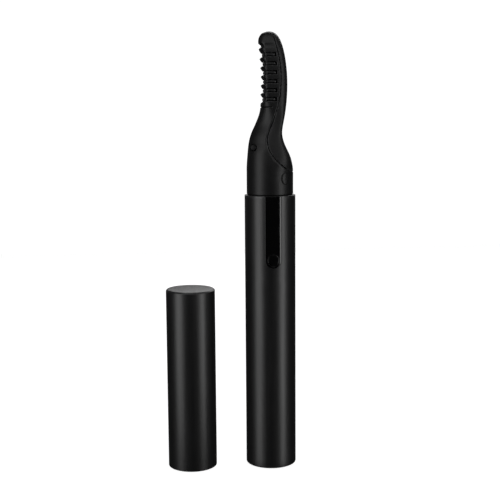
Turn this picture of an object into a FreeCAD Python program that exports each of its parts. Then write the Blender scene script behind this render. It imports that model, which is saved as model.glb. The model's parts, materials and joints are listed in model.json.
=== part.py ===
import FreeCAD, Part
import math
import os
import re
import Sketcher
from FreeCAD import Placement, Rotation, Vector

# Heated comb eyelash curler in the shape of a pen, with its cap standing beside it.
#
# Frame: millimetres, +Z up, the pen's axis is the Z axis and its base lies on z = 0. The comb's
# teeth point along -X, the gloss panel with the power key faces -Y, and the cap stands on z = 0
# on the -X side, closed end up.

SIZES = {
    # Clearances between pieces.
    "slip_gap": 0.05,
    "seat_gap": 0.1,
    "panel_gap": 0.06,
    "running_gap": 0.08,
    "touch_gap": 0.02,
    # Outer tube.
    "tube_diameter": 16.0,
    "tube_wall": 0.65,
    "tube_height": 86.8,
    "tube_foot_radius": 0.4,
    "rim_chamfer": 0.12,
    "slot_width": 5.0,
    "slot_depth": 22.4,
    # Base plug with the charging mouth.
    "plug_floor": 1.5,
    "plug_height": 9.0,
    "plug_wall": 0.9,
    "rail_width": 1.5,
    "rail_depth": 1.7,
    "rail_height": 6.5,
    # Charging socket.
    "usb_width": 8.94,
    "usb_thickness": 3.26,
    "usb_depth": 7.3,
    "usb_wall": 0.3,
    "usb_recess": 0.3,
    "tongue_width": 6.69,
    "tongue_thickness": 0.7,
    "tongue_setback": 1.1,
    "tongue_root_width": 6.7,
    "tongue_root_thickness": 2.2,
    "tongue_root_depth": 1.2,
    "contact_width": 0.3,
    "contact_thickness": 0.06,
    "contact_length": 3.4,
    "contact_pitch": 0.5,
    # Charging board.
    "charge_board_margin": 2.6,
    "charge_board_thickness": 0.8,
    "charge_board_top": 13.2,
    "charge_chip_side": 3.0,
    "charge_chip_thickness": 0.9,
    "charge_chip_bottom": 4.4,
    "small_part_length": 1.0,
    "small_part_width": 0.5,
    "small_part_pitch": 1.6,
    # Carriers: the two halves of the inner frame.
    "carrier_wall": 1.0,
    "carrier_bottom": 9.4,
    "carrier_drop": 6.8,
    "parting_gap": 0.1,
    "bulkhead_bottom": 14.0,
    "bulkhead_thickness": 1.0,
    "bulkhead_margin": 0.8,
    "land_width": 6.4,
    "land_setback": 1.6,
    "land_thickness": 0.8,
    "land_margin": 1.9,
    "rib_width": 1.5,
    "rib_setback": 0.4,
    "rib_foot_drop": 16.8,
    "rib_top_drop": 8.8,
    "ledge_foot_drop": 20.8,
    "ledge_depth": 0.9,
    "tongue_plate_width": 6.0,
    "tongue_plate_thickness": 1.6,
    "tongue_plate_length": 4.5,
    # Battery.
    "battery_margin": 3.0,
    "battery_edge": 0.4,
    "tab_thickness": 0.15,
    "tab_width": 1.5,
    "tab_leg": 3.0,
    "tab_reach": 2.5,
    "pad_thickness": 0.85,
    "pad_margin": 0.2,
    "tape_width": 4.0,
    "tape_margin": 4.0,
    # Control board.
    "board_margin": 2.8,
    "board_thickness": 1.0,
    "board_setback": 3.9,
    "board_foot_gap": 0.6,
    "board_foot_drop": 24.2,
    "board_top_drop": 1.6,
    "controller_side": 4.0,
    "controller_thickness": 0.9,
    "controller_drop": 15.8,
    "coil_side": 3.0,
    "coil_thickness": 1.5,
    "coil_drop": 9.8,
    # Power key and switch.
    "key_diameter": 3.6,
    "key_recess": 0.06,
    "key_flange_diameter": 4.8,
    "key_flange_thickness": 0.6,
    "key_rest_gap": 0.05,
    "switch_side": 4.0,
    "switch_thickness": 1.8,
    "plunger_diameter": 1.8,
    "plunger_length": 1.35,
    "plunger_bore_depth": 1.15,
    # Gloss panel and the lights behind it.
    "panel_recess": 0.05,
    "panel_top_gap": 0.1,
    "tape_thickness": 0.1,
    "tape_inset": 0.2,
    "light_width": 2.6,
    "light_rise": 6.1,
    "light_length": 11.0,
    "light_flange": 0.6,
    "light_flange_thickness": 0.6,
    "led_length": 1.6,
    "led_width": 0.8,
    "led_thickness": 0.65,
    "led_pitch": 2.7,
    "led_count": 4,
    # Head: spigot, neck and comb. Drops are measured down from the head's tip.
    "head_height": 50.4,
    "spigot_wall": 1.1,
    "spigot_depth": 6.5,
    "seam_gap": 0.14,
    "bump_height": 4.7,
    "bump_length": 3.8,
    "bump_width": 1.7,
    "bump_rise": 0.17,
    "bump_angle": 45.0,
    "comb_radius": 75.0,
    "comb_middle_drop": 14.4,
    "tooth_slot": 1.2,
    "tooth_pitch": 2.8,
    "tooth_count": 7,
    "first_slot_drop": 20.95,
    "tooth_depth": 4.13,
    # Heater in the comb.
    "heater_setback": 0.98,
    "heater_depth": 3.3,
    "heater_width": 5.8,
    "heater_wall": 0.6,
    "heater_foot_drop": 24.1,
    "heater_top_drop": 3.2,
    "heater_edge": 0.45,
    "film_thickness": 0.3,
    "film_inset": 0.1,
    "sensor_diameter": 0.9,
    "sensor_length": 1.8,
    "sensor_drop": 20.4,
    # Ready light in the neck.
    "lens_diameter": 2.2,
    "lens_recess": 0.32,
    "lens_drop": 35.9,
    "lens_angle": 40.0,
    "lens_axis": 0.92,
    "pipe_diameter": 1.4,
    "pipe_reach": 2.6,
    "pipe_bend": 1.7,
    "ready_light_width": 1.6,
    "ready_light_depth": 1.5,
    "ready_light_length": 1.3,
    # Wires.
    "lead_diameter": 0.7,
    "sensor_lead_diameter": 0.4,
    # Screw that holds the head to the rear carrier.
    "screw_diameter": 1.3,
    "screw_head_diameter": 2.4,
    "screw_head_thickness": 0.6,
    "screw_length": 2.3,
    "screw_drop": 4.4,
    "screw_slot": 0.4,
    # Cap.
    "cap_step": 0.25,
    "cap_wall": 0.4,
    "cap_top": 0.6,
    "cap_height": 57.4,
    "cap_chamfer": 0.45,
    "cap_foot_radius": 0.12,
    "cap_distance": 25.5,
    "cap_groove_width": 4.4,
    "cap_groove_depth": 0.15,
    "liner_wall": 0.6,
    "liner_start": 18.0,
    "liner_top": 0.8,
}

# The head is drawn for this height and this radius of its spigot, and stretched to the sizes in
# use. The tooth tips' distance from the pen's axis is a share of the spigot's radius.
DRAWN_HEIGHT = 50.4
DRAWN_RADIUS = 7.3
TIP_SHARE = 0.3466

# Outline of the head above its round foot. Each row gives the height above the tube's rim, how
# far the front, the back and the sides lie inside the spigot's radius, and the fullness of the
# oval: 2 is an ellipse, more is squarer.
HEAD_OVALS = [
    (7.0, 0.0, 0.0, 0.0, 2.0),
    (8.4, 0.01, 0.12, 0.05, 2.0),
    (9.7, 0.07, 0.4, 0.15, 2.0),
    (12.5, 0.28, 1.37, 0.55, 2.0),
    (14.3, 0.43, 2.27, 0.85, 2.0),
    (16.2, 0.67, 3.14, 1.2, 2.05),
    (19.0, 1.41, 3.77, 1.75, 2.1),
    (21.0, 2.3, 3.6, 2.1, 2.15),
    (23.6, 3.46, 3.03, 2.45, 2.2),
    (26.6, 4.4, 2.42, 2.7, 2.3),
    (31.0, 4.62, 1.95, 2.8, 2.4),
    (36.0, 4.77, 1.87, 2.9, 2.4),
    (41.5, 4.42, 2.35, 3.15, 2.4),
    (45.5, 4.05, 3.15, 3.6, 2.3),
    (48.0, 3.95, 4.05, 4.4, 2.2),
    (49.5, 4.75, 5.1, 5.4, 2.1),
    (50.15, 5.9, 6.2, 6.4, 2.0),
]
HEAD_TIP = (-0.15, 50.4)

# Parting line between the comb shell and the back cover, seen from the side: distance along +X
# from the pen's axis, and height above the rim.
PARTING_LINE = [
    (0.3, 51.5),
    (0.95, 49.2),
    (1.6, 46.3),
    (2.5, 42.4),
    (3.0, 38.3),
    (3.0, 34.4),
    (2.65, 30.4),
    (1.6, 26.2),
    (0.3, 22.4),
    (-1.0, 19.3),
    (-1.5, 17.0),
    (-1.3, 15.2),
    (-0.4, 13.05),
    (1.15, 11.0),
    (3.2, 9.25),
    (5.0, 8.1),
    (8.5, 7.0),
]

# Sizes that follow from others and are used by name. Each is a formula in the sheet.
FOLLOWING = {
    # Across the pen.
    "charge_board_width": "tube_diameter - 2 * charge_board_margin",
    "battery_diameter": "tube_diameter - 2 * battery_margin",
    "bulkhead_width": "battery_diameter - 2 * bulkhead_margin",
    "pad_diameter": "battery_diameter - 2 * pad_margin",
    "board_width": "tube_diameter - 2 * board_margin",
    "land_front": "tube_diameter / 2 - land_setback",
    "board_face": "land_front - board_setback",
    "cap_diameter": "tube_diameter - 2 * cap_step",
    # Along the tube, from its rim downward.
    "board_top": "tube_height - board_top_drop",
    "board_bottom": "tube_height - board_foot_drop",
    "controller_bottom": "tube_height - controller_drop",
    "coil_bottom": "tube_height - coil_drop",
    "light_bottom": "tube_height - slot_depth + slot_width / 2 + light_rise",
    "ledge_bottom": "tube_height - ledge_foot_drop",
    "rib_bottom": "tube_height - rib_foot_drop",
    "rib_top": "tube_height - rib_top_drop",
    "carrier_top": "tube_height - carrier_drop",
    "screw_height": "tube_height - screw_drop",
    # The battery fills the room between the lower bulkhead and the control board.
    "battery_bottom": "bulkhead_bottom + bulkhead_thickness + pad_thickness + tab_thickness",
    "upper_bulkhead": "board_bottom - board_foot_gap - bulkhead_thickness",
    "battery_top": "upper_bulkhead - pad_thickness - tab_thickness",
    # In the head, above the tube's rim.
    "tooth_tip": f"(tube_diameter / 2 - tube_wall - slip_gap) * {TIP_SHARE}",
    "heater_front": "tooth_tip - heater_setback",
    "comb_middle": "head_height - comb_middle_drop",
    "first_slot": "head_height - first_slot_drop",
    "heater_bottom": "head_height - heater_foot_drop",
    "heater_top": "head_height - heater_top_drop",
    "sensor_height": "head_height - sensor_drop",
    "lens_height": "head_height - lens_drop",
}

# Expressions of the sheet's cells that several pieces share.
TUBE_RADIUS = "(tube_diameter / 2)"
TUBE_BORE = "(tube_diameter / 2 - tube_wall)"
PLUG_RADIUS = f"({TUBE_BORE} - slip_gap)"
CARRIER_RADIUS = f"({TUBE_BORE} - seat_gap)"
CARRIER_BORE = f"({CARRIER_RADIUS} - carrier_wall)"
SPIGOT_RADIUS = f"({TUBE_BORE} - slip_gap)"
SPIGOT_BORE = f"({SPIGOT_RADIUS} - spigot_wall)"
SLOT_CENTRE = "(tube_height - slot_depth + slot_width / 2)"
PANEL_RADIUS = f"({TUBE_RADIUS} - panel_recess)"
PANEL_BACK = "(land_front + tape_thickness)"
PANEL_TOP = "(tube_height - panel_top_gap)"
LAND_BACK = "(land_front - land_thickness)"
LAND_BOTTOM = "(tube_height - slot_depth - land_margin)"
KEY_RADIUS = "(key_diameter / 2)"
KEY_FLANGE_FRONT = f"({LAND_BACK} - key_rest_gap)"
KEY_FLANGE_BACK = f"({KEY_FLANGE_FRONT} - key_flange_thickness)"
BOARD_REAR = "(board_face - board_thickness)"
USB_TOP = "(usb_recess + usb_depth)"
CHARGE_BOARD_FRONT = "(usb_thickness / 2)"
CHARGE_BOARD_REAR = "(usb_thickness / 2 + charge_board_thickness)"
BULKHEAD_TOP = "(bulkhead_bottom + bulkhead_thickness)"
TAB_PLANE = "(battery_diameter / 2 + touch_gap)"
CAP_BORE = "(cap_diameter / 2 - cap_wall)"
LINER_RADIUS = f"({CAP_BORE} - slip_gap)"

doc = FreeCAD.newDocument("eyelash_curler")
sheet = doc.addObject("Spreadsheet::Sheet", "sizes")
formulas = {alias: f"={formula}" for alias, formula in FOLLOWING.items()}
for row, (alias, value) in enumerate({**SIZES, **formulas}.items(), start=1):
    sheet.set(f"A{row}", alias)
    sheet.set(f"B{row}", str(value))
    sheet.setAlias(f"B{row}", alias)
doc.recompute()

nodes = []


# ---------------------------------------------------------------- sheet and document helpers

def linked(expression):
    """Return the expression with every size named as a cell of the sheet."""
    return re.sub(r"[a-z]+(?:_[a-z]+)+", lambda name: "sizes." + name.group(0), expression)


def size(expression):
    """Return the value of an expression of sizes."""
    return float(sheet.evalExpression(linked(expression)))


def bind(target, name, expression):
    """Tie a property to an expression of sizes."""
    target.setExpression(name, linked(expression))


def move_to(target, x="0", y="0", z="0"):
    """Tie an object's position to expressions of sizes."""
    bind(target, "Placement.Base.x", x)
    bind(target, "Placement.Base.y", y)
    bind(target, "Placement.Base.z", z)


def keep(target, label):
    """Name an object as one of the part's pieces."""
    target.Label = label
    nodes.append(target)
    return target


# ---------------------------------------------------------------- PartDesign helpers

def new_body(label):
    return keep(doc.addObject("PartDesign::Body", label), label)


def new_sketch(body, name, plane, offset="0"):
    """Start a sketch on one of the body's own origin planes, moved along the plane's normal."""
    sketch = body.newObject("Sketcher::SketchObject", name)
    origin_plane = next(item for item in body.Origin.OriginFeatures if item.Role == plane)
    sketch.AttachmentSupport = (origin_plane, [""])
    sketch.MapMode = "FlatFace"
    bind(sketch, "AttachmentOffset.Base.z", offset)
    return sketch


def fix_value(sketch, constraint, expression):
    """Add a constraint and tie its value to an expression of sizes."""
    index = sketch.addConstraint(constraint)
    sketch.setExpression(f"Constraints[{index}]", linked(expression))


def fix_point(sketch, geometry, end, across, up):
    """Hold one point of a sketch element at two distances from the sketch's origin."""
    for kind, distance in (("DistanceX", across), ("DistanceY", up)):
        constraint = Sketcher.Constraint(kind, -1, 1, geometry, end, size(distance))
        fix_value(sketch, constraint, distance)


def draw_outline(sketch, corners):
    """Draw a closed outline of straight lines through corners given as expressions."""
    points = [Vector(size(across), size(up), 0) for across, up in corners]
    first = None
    for index, point in enumerate(points):
        line = sketch.addGeometry(Part.LineSegment(point, points[(index + 1) % len(points)]))
        if first is None:
            first = line
        else:
            sketch.addConstraint(Sketcher.Constraint("Coincident", line - 1, 2, line, 1))
        fix_point(sketch, line, 1, *corners[index])
    sketch.addConstraint(Sketcher.Constraint("Coincident", first + len(points) - 1, 2, first, 1))


def draw_rectangle(sketch, left, right, bottom, top):
    draw_outline(sketch, [(left, bottom), (right, bottom), (right, top), (left, top)])


def draw_circle(sketch, across, up, radius):
    centre = Vector(size(across), size(up), 0)
    circle = sketch.addGeometry(Part.Circle(centre, Vector(0, 0, 1), size(radius)))
    fix_point(sketch, circle, 3, across, up)
    fix_value(sketch, Sketcher.Constraint("Radius", circle, size(radius)), radius)


def draw_arc(sketch, centre, start, end):
    """Draw an arc anticlockwise from start to end about centre, all given as expressions."""
    middle = Vector(size(centre[0]), size(centre[1]), 0)
    first = Vector(size(start[0]), size(start[1]), 0)
    last = Vector(size(end[0]), size(end[1]), 0)
    circle = Part.Circle(middle, Vector(0, 0, 1), first.distanceToPoint(middle))
    start_angle = math.atan2(first.y - middle.y, first.x - middle.x)
    end_angle = math.atan2(last.y - middle.y, last.x - middle.x)
    if end_angle <= start_angle:
        end_angle += 2 * math.pi
    arc = sketch.addGeometry(Part.ArcOfCircle(circle, start_angle, end_angle))
    fix_point(sketch, arc, 3, *centre)
    fix_point(sketch, arc, 1, *start)
    beside_centre = abs(last.x - middle.x) > abs(last.y - middle.y)
    kind, distance = ("DistanceY", end[1]) if beside_centre else ("DistanceX", end[0])
    fix_value(sketch, Sketcher.Constraint(kind, -1, 1, arc, 2, size(distance)), distance)
    return arc


def draw_line(sketch, start, end):
    """Draw a line that joins two points already held by other elements."""
    first = Vector(size(start[0]), size(start[1]), 0)
    last = Vector(size(end[0]), size(end[1]), 0)
    return sketch.addGeometry(Part.LineSegment(first, last))


def join_ends(sketch, *pairs):
    """Make the given element ends coincide."""
    for first, first_end, second, second_end in pairs:
        sketch.addConstraint(Sketcher.Constraint("Coincident", first, first_end, second, second_end))


def draw_stadium(sketch, half_width, half_height, middle="0"):
    """Draw a slot shape with round left and right ends, centred at the given height."""
    straight = f"({half_width} - {half_height})"
    low = f"({middle} - {half_height})"
    high = f"({middle} + {half_height})"
    right = draw_arc(sketch, (straight, middle), (straight, low), (straight, high))
    left = draw_arc(sketch, (f"-{straight}", middle), (f"-{straight}", high), (f"-{straight}", low))
    top = draw_line(sketch, (straight, high), (f"-{straight}", high))
    bottom = draw_line(sketch, (f"-{straight}", low), (straight, low))
    join_ends(sketch, (right, 2, top, 1), (top, 2, left, 1), (left, 2, bottom, 1), (bottom, 2, right, 1))


def draw_u_shape(sketch, half_width, centre, top):
    """Draw an upright strip whose lower end is a half circle about the given centre height."""
    left_low = (f"-{half_width}", centre)
    right_low = (half_width, centre)
    right_top = (half_width, top)
    left_top = (f"-{half_width}", top)
    bend = draw_arc(sketch, ("0", centre), left_low, right_low)
    right = draw_line(sketch, right_low, right_top)
    across = draw_line(sketch, right_top, left_top)
    left = draw_line(sketch, left_top, left_low)
    join_ends(sketch, (bend, 2, right, 1), (right, 2, across, 1), (across, 2, left, 1), (left, 2, bend, 1))
    fix_point(sketch, right, 2, *right_top)
    fix_point(sketch, across, 2, *left_top)


def draw_comb_band(sketch, inset, depth, bottom, top):
    """Draw a strip that follows the comb's curve, from inset to inset + depth behind its front."""
    centre = ("(-comb_radius - heater_front)", "comb_middle")
    near = f"(comb_radius + {inset})"
    far = f"(comb_radius + {inset} + {depth})"

    def on_arc(radius, height):
        rise = f"({height} - comb_middle)"
        return (f"({centre[0]} + sqrt({radius} * {radius} - {rise} * {rise}))", height)

    front = draw_arc(sketch, centre, on_arc(near, bottom), on_arc(near, top))
    back = draw_arc(sketch, centre, on_arc(far, bottom), on_arc(far, top))
    low = draw_line(sketch, on_arc(near, bottom), on_arc(far, bottom))
    high = draw_line(sketch, on_arc(near, top), on_arc(far, top))
    join_ends(sketch, (low, 1, front, 1), (low, 2, back, 1), (high, 1, front, 2), (high, 2, back, 2))


def revolve(body, sketch):
    """Turn a sketch once round the body's vertical axis."""
    turn = body.newObject("PartDesign::Revolution", sketch.Name + "_turn")
    turn.Profile = sketch
    turn.ReferenceAxis = (sketch, ["V_Axis"])
    turn.Angle = 360
    return turn


def groove(body, sketch):
    """Cut a sketch away once round the body's vertical axis."""
    cut = body.newObject("PartDesign::Groove", sketch.Name + "_groove")
    cut.Profile = sketch
    cut.ReferenceAxis = (sketch, ["V_Axis"])
    cut.Angle = 360
    return cut


def pad(body, sketch, length, both_ways=False):
    """Raise a sketch along its normal, or equally to both sides of its plane."""
    raised = body.newObject("PartDesign::Pad", sketch.Name + "_pad")
    raised.Profile = sketch
    raised.Midplane = both_ways
    bind(raised, "Length", length)
    return raised


def pocket(body, sketch, length, along_normal=False, both_ways=False):
    """Cut a sketch out against its normal, along it, or equally to both sides of its plane."""
    cut = body.newObject("PartDesign::Pocket", sketch.Name + "_pocket")
    cut.Profile = sketch
    cut.Reversed = along_normal
    cut.Midplane = both_ways
    bind(cut, "Length", length)
    return cut


def round_edges(body, kind, base, amount, chosen):
    """Fillet or chamfer the base feature's edges for which chosen(edge) is true."""
    doc.recompute()
    names = [f"Edge{n}" for n, edge in enumerate(base.Shape.Edges, start=1) if chosen(edge)]
    if not names:
        raise RuntimeError(f"{body.Label}: no edge to round on {base.Name}")
    rounded = body.newObject(f"PartDesign::{kind}", f"{base.Name}_{kind.lower()}")
    rounded.Base = (base, names)
    bind(rounded, "Radius" if kind == "Fillet" else "Size", amount)
    return rounded


# ---------------------------------------------------------------- Part helpers

def box(name, across, deep, up):
    """Make a box from (low, high) pairs of expressions along X, Y and Z."""
    solid = doc.addObject("Part::Box", name)
    bind(solid, "Length", f"{across[1]} - ({across[0]})")
    bind(solid, "Width", f"{deep[1]} - ({deep[0]})")
    bind(solid, "Height", f"{up[1]} - ({up[0]})")
    move_to(solid, across[0], deep[0], up[0])
    return solid


def rod(name, radius, bottom, top, angle=360):
    """Make a cylinder about the pen's axis, or the part of it at y > 0 with an angle of 180."""
    solid = doc.addObject("Part::Cylinder", name)
    bind(solid, "Radius", radius)
    bind(solid, "Height", f"{top} - ({bottom})")
    solid.Angle = angle
    move_to(solid, z=bottom)
    return solid


def peg(name, radius, front, back, height):
    """Make a cylinder along Y at x = 0, between two distances on the -Y side of the axis."""
    solid = doc.addObject("Part::Cylinder", name)
    bind(solid, "Radius", radius)
    bind(solid, "Height", f"{front} - ({back})")
    solid.Placement = Placement(Vector(), Rotation(Vector(1, 0, 0), 90))
    move_to(solid, y=f"-({back})", z=height)
    return solid


def cut(name, base, *tools):
    result = doc.addObject("Part::Cut", name)
    result.Base = base
    result.Tool = tools[0] if len(tools) == 1 else fuse(name + "_tools", *tools)
    return result


def fuse(name, *shapes):
    result = doc.addObject("Part::MultiFuse", name)
    result.Shapes = list(shapes)
    result.Refine = True
    return result


def common(name, first, second):
    result = doc.addObject("Part::Common", name)
    result.Base = first
    result.Tool = second
    return result


def group(name, solids):
    """Gather separate solids of one kind in one piece."""
    result = doc.addObject("Part::Compound", name)
    result.Links = solids
    return result


def shape_piece(label, shape, raised="0"):
    """Add a piece whose shape comes from Part's own functions, moved up by an expression."""
    piece = doc.addObject("Part::Feature", label)
    piece.Shape = shape
    piece.Placement = Placement(Vector(0, 0, size(raised)), Rotation())
    return keep(piece, label)


# ---------------------------------------------------------------- tube, plug and charging socket

def make_outer_tube():
    body = new_body("outer_tube")
    wall = new_sketch(body, "tube_wall_profile", "XZ_Plane")
    draw_rectangle(wall, TUBE_BORE, TUBE_RADIUS, "0", "tube_height")
    turned = revolve(body, wall)

    def is_foot(edge):
        return edge.BoundBox.ZMax < 0.01 and edge.BoundBox.XMax > size(TUBE_RADIUS) - 0.01

    foot = round_edges(body, "Fillet", turned, "tube_foot_radius", is_foot)
    height = size("tube_height")
    rim = round_edges(
        body, "Chamfer", foot, "rim_chamfer",
        lambda edge: edge.BoundBox.ZMin > height - 0.01 and edge.BoundBox.XLength > 1,
    )
    slot = new_sketch(body, "tube_slot", "XZ_Plane")
    draw_u_shape(slot, "(slot_width / 2)", SLOT_CENTRE, "(tube_height + 1)")
    pocket(body, slot, "tube_diameter", along_normal=True)
    doc.recompute()
    if body.Shape.Volume > rim.Shape.Volume - 1:
        raise RuntimeError("outer_tube: the slot cut nothing")


def make_base_plug():
    body = new_body("base_plug")
    profile = new_sketch(body, "plug_profile", "XZ_Plane")
    skirt = f"({PLUG_RADIUS} - plug_wall)"
    draw_outline(profile, [
        ("0", "0"),
        (PLUG_RADIUS, "0"),
        (PLUG_RADIUS, "plug_height"),
        (skirt, "plug_height"),
        (skirt, "plug_floor"),
        ("0", "plug_floor"),
    ])
    revolve(body, profile)
    rails = new_sketch(body, "board_rails", "XY_Plane", "(plug_floor - slip_gap)")
    inner = "(charge_board_width / 2 + slip_gap - 0.4)"
    outer = f"({inner} + rail_width)"
    middle = f"(({CHARGE_BOARD_FRONT} + {CHARGE_BOARD_REAR}) / 2)"
    low = f"({middle} - rail_depth / 2)"
    high = f"({middle} + rail_depth / 2)"
    draw_rectangle(rails, inner, outer, low, high)
    draw_rectangle(rails, f"-{outer}", f"-{inner}", low, high)
    pad(body, rails, "rail_height")
    slot = new_sketch(body, "board_slot", "XY_Plane", "plug_height")
    draw_rectangle(
        slot, "(-charge_board_width / 2 - slip_gap)", "(charge_board_width / 2 + slip_gap)",
        f"({CHARGE_BOARD_FRONT} - touch_gap)", f"({CHARGE_BOARD_REAR} + slip_gap)",
    )
    pocket(body, slot, "(plug_height - plug_floor)")
    mouth = new_sketch(body, "charging_mouth", "XY_Plane", "plug_height")
    draw_stadium(mouth, "(usb_width / 2 + slip_gap)", "(usb_thickness / 2 + touch_gap)")
    pocket(body, mouth, "(plug_height + 1)")


def make_charging_socket():
    shell = new_body("usb_shell")
    outside = new_sketch(shell, "usb_outside", "XY_Plane", "usb_recess")
    draw_stadium(outside, "(usb_width / 2)", "(usb_thickness / 2)")
    pad(shell, outside, "usb_depth")
    inside = new_sketch(shell, "usb_inside", "XY_Plane", "usb_recess")
    draw_stadium(inside, "(usb_width / 2 - usb_wall)", "(usb_thickness / 2 - usb_wall)")
    pocket(shell, inside, "(usb_depth - usb_wall)", along_normal=True)

    back = f"({USB_TOP} - usb_wall)"
    root_bottom = f"({back} - tongue_root_depth)"
    tongue_bottom = "(usb_recess + tongue_setback)"
    blade = box(
        "tongue_blade", ("-tongue_width / 2", "tongue_width / 2"),
        ("-tongue_thickness / 2", "tongue_thickness / 2"), (tongue_bottom, root_bottom),
    )
    root = box(
        "tongue_root", ("-tongue_root_width / 2", "tongue_root_width / 2"),
        ("-tongue_root_thickness / 2", "tongue_root_thickness / 2"), (root_bottom, back),
    )
    keep(fuse("usb_tongue", blade, root), "usb_tongue")

    strips = []
    count = 12
    for side in (-1, 1):
        for index in range(count):
            middle = f"({index - (count - 1) / 2} * contact_pitch)"
            face = f"({side} * (tongue_thickness / 2 + contact_thickness / 2))"
            strips.append(box(
                f"contact_{'front' if side < 0 else 'rear'}_{index}",
                (f"({middle} - contact_width / 2)", f"({middle} + contact_width / 2)"),
                (f"({face} - contact_thickness / 2)", f"({face} + contact_thickness / 2)"),
                (f"({root_bottom} - contact_length)", root_bottom),
            ))
    keep(group("usb_contacts", strips), "usb_contacts")


def make_charge_board():
    half = "(charge_board_width / 2)"
    keep(box(
        "charge_board", (f"-{half}", half), (CHARGE_BOARD_FRONT, CHARGE_BOARD_REAR),
        ("(plug_floor + slip_gap)", "charge_board_top"),
    ), "charge_board")
    chip_top = "(charge_chip_bottom + charge_chip_side)"
    keep(box(
        "charge_chip", ("-charge_chip_side / 2", "charge_chip_side / 2"),
        (CHARGE_BOARD_REAR, f"({CHARGE_BOARD_REAR} + charge_chip_thickness)"),
        ("charge_chip_bottom", chip_top),
    ), "charge_chip")
    parts = small_parts("charge_part", CHARGE_BOARD_REAR, 1, f"({chip_top} + 1)", 5, 1)
    keep(group("charge_parts", parts), "charge_parts")


def small_parts(name, face, outward, bottom, columns, rows):
    """Make a grid of small soldered parts on a board's face; outward is +1 or -1 along Y."""
    solids = []
    for column in range(columns):
        for line in range(rows):
            middle = f"({column - (columns - 1) / 2} * small_part_pitch)"
            low = f"({bottom} + {line} * small_part_pitch)"
            near = face if outward > 0 else f"({face} - small_part_width)"
            solids.append(box(
                f"{name}_{column}_{line}",
                (f"({middle} - small_part_width / 2)", f"({middle} + small_part_width / 2)"),
                (near, f"({near} + small_part_width)"),
                (low, f"({low} + small_part_length)"),
            ))
    return solids


# ---------------------------------------------------------------- inner frame

def make_rear_carrier():
    outside = rod("rear_outside", CARRIER_RADIUS, "carrier_bottom", "carrier_top", angle=180)
    inside = rod("rear_inside", CARRIER_BORE, "(carrier_bottom - 1)", "(carrier_top + 1)")
    split = box(
        "rear_split", ("-tube_diameter", "tube_diameter"), ("-1", "(parting_gap / 2)"),
        ("(carrier_bottom - 1)", "(carrier_top + 1)"),
    )
    shell = cut("rear_shell", outside, inside, split)
    solids = [shell]
    for name, bottom in (("lower", "bulkhead_bottom"), ("upper", "upper_bulkhead")):
        disc = rod(
            f"{name}_disc", f"({CARRIER_BORE} + carrier_wall / 2)", bottom,
            f"({bottom} + bulkhead_thickness)", angle=180,
        )
        width = box(
            f"{name}_disc_width", ("-bulkhead_width / 2", "bulkhead_width / 2"),
            ("0", CARRIER_RADIUS), (bottom, f"({bottom} + bulkhead_thickness)"),
        )
        solids.append(common(f"{name}_bulkhead", disc, width))
    for side in (-1, 1):
        outer = f"({CARRIER_BORE} - rib_setback)"
        inner = f"({outer} - rib_width)"
        across = (inner, outer) if side > 0 else (f"-{outer}", f"-{inner}")
        solids.append(box(
            f"board_rib_{'left' if side < 0 else 'right'}", across,
            (f"(-{BOARD_REAR} + slip_gap)", f"({CARRIER_BORE} / 2)"), ("rib_bottom", "rib_top"),
        ))
    inner_face = f"({SPIGOT_BORE} - tongue_plate_thickness)"
    foot = rod("plate_foot", f"({CARRIER_BORE} + carrier_wall / 2)", "(carrier_top - 3)", "carrier_top")
    reach = rod(
        "plate_reach", f"({SPIGOT_BORE} - slip_gap)", "(carrier_top - 3)",
        "(carrier_top + tongue_plate_length)",
    )
    window = box(
        "plate_window", ("-tongue_plate_width / 2", "tongue_plate_width / 2"),
        (inner_face, CARRIER_RADIUS), ("(carrier_top - 4)", "(carrier_top + tongue_plate_length + 1)"),
    )
    solids.append(common("tongue_plate", fuse("plate_rods", foot, reach), window))
    frame = fuse("rear_frame", *solids)
    pilot = peg(
        "screw_pilot", "(screw_diameter / 2 + touch_gap)", f"-({inner_face} - 1)",
        f"-({CARRIER_RADIUS})", "screw_height",
    )
    keep(cut("rear_carrier", frame, pilot), "rear_carrier")


def make_front_carrier():
    outside = rod("front_outside", CARRIER_RADIUS, "carrier_bottom", "carrier_top")
    inside = rod("front_inside", CARRIER_BORE, "(carrier_bottom - 1)", "(carrier_top + 1)")
    rear_half = box(
        "front_rear_half", ("-tube_diameter", "tube_diameter"),
        ("-parting_gap / 2", "tube_diameter"), ("(carrier_bottom - 1)", "(carrier_top + 1)"),
    )
    shell = cut("front_shell", outside, inside, rear_half)
    land = box(
        "panel_land", ("-land_width / 2", "land_width / 2"), ("-land_front", f"-{LAND_BACK}"),
        (LAND_BOTTOM, "(tube_height - seat_gap * 2)"),
    )
    solids = [shell, land]
    for side in (-1, 1):
        outer = f"({CARRIER_BORE} - carrier_wall / 4)"
        inner = f"({outer} - rib_width)"
        across = (inner, outer) if side > 0 else (f"-{outer}", f"-{inner}")
        solids.append(box(
            f"board_ledge_{'left' if side < 0 else 'right'}", across,
            ("(-board_face - ledge_depth)", "(-board_face - touch_gap)"), ("ledge_bottom", "rib_top"),
        ))
    frame = fuse("front_frame", *solids)

    seat = doc.addObject("Part::Feature", "panel_seat")
    seat.Shape = u_solid("(slot_width / 2)", "(slot_width / 2)", "land_front", TUBE_RADIUS)
    key_hole = peg(
        "key_hole", f"({KEY_RADIUS} + running_gap)", TUBE_RADIUS, f"({LAND_BACK} - 1)", SLOT_CENTRE,
    )
    light_hole = box(
        "light_hole", ("(-light_width / 2 - slip_gap)", "(light_width / 2 + slip_gap)"),
        (f"-{TUBE_RADIUS}", f"(-{LAND_BACK} + 1)"),
        ("(light_bottom - slip_gap)", "(light_bottom + light_length + slip_gap)"),
    )
    keep(cut("front_carrier", frame, seat, key_hole, light_hole), "front_carrier")


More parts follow.
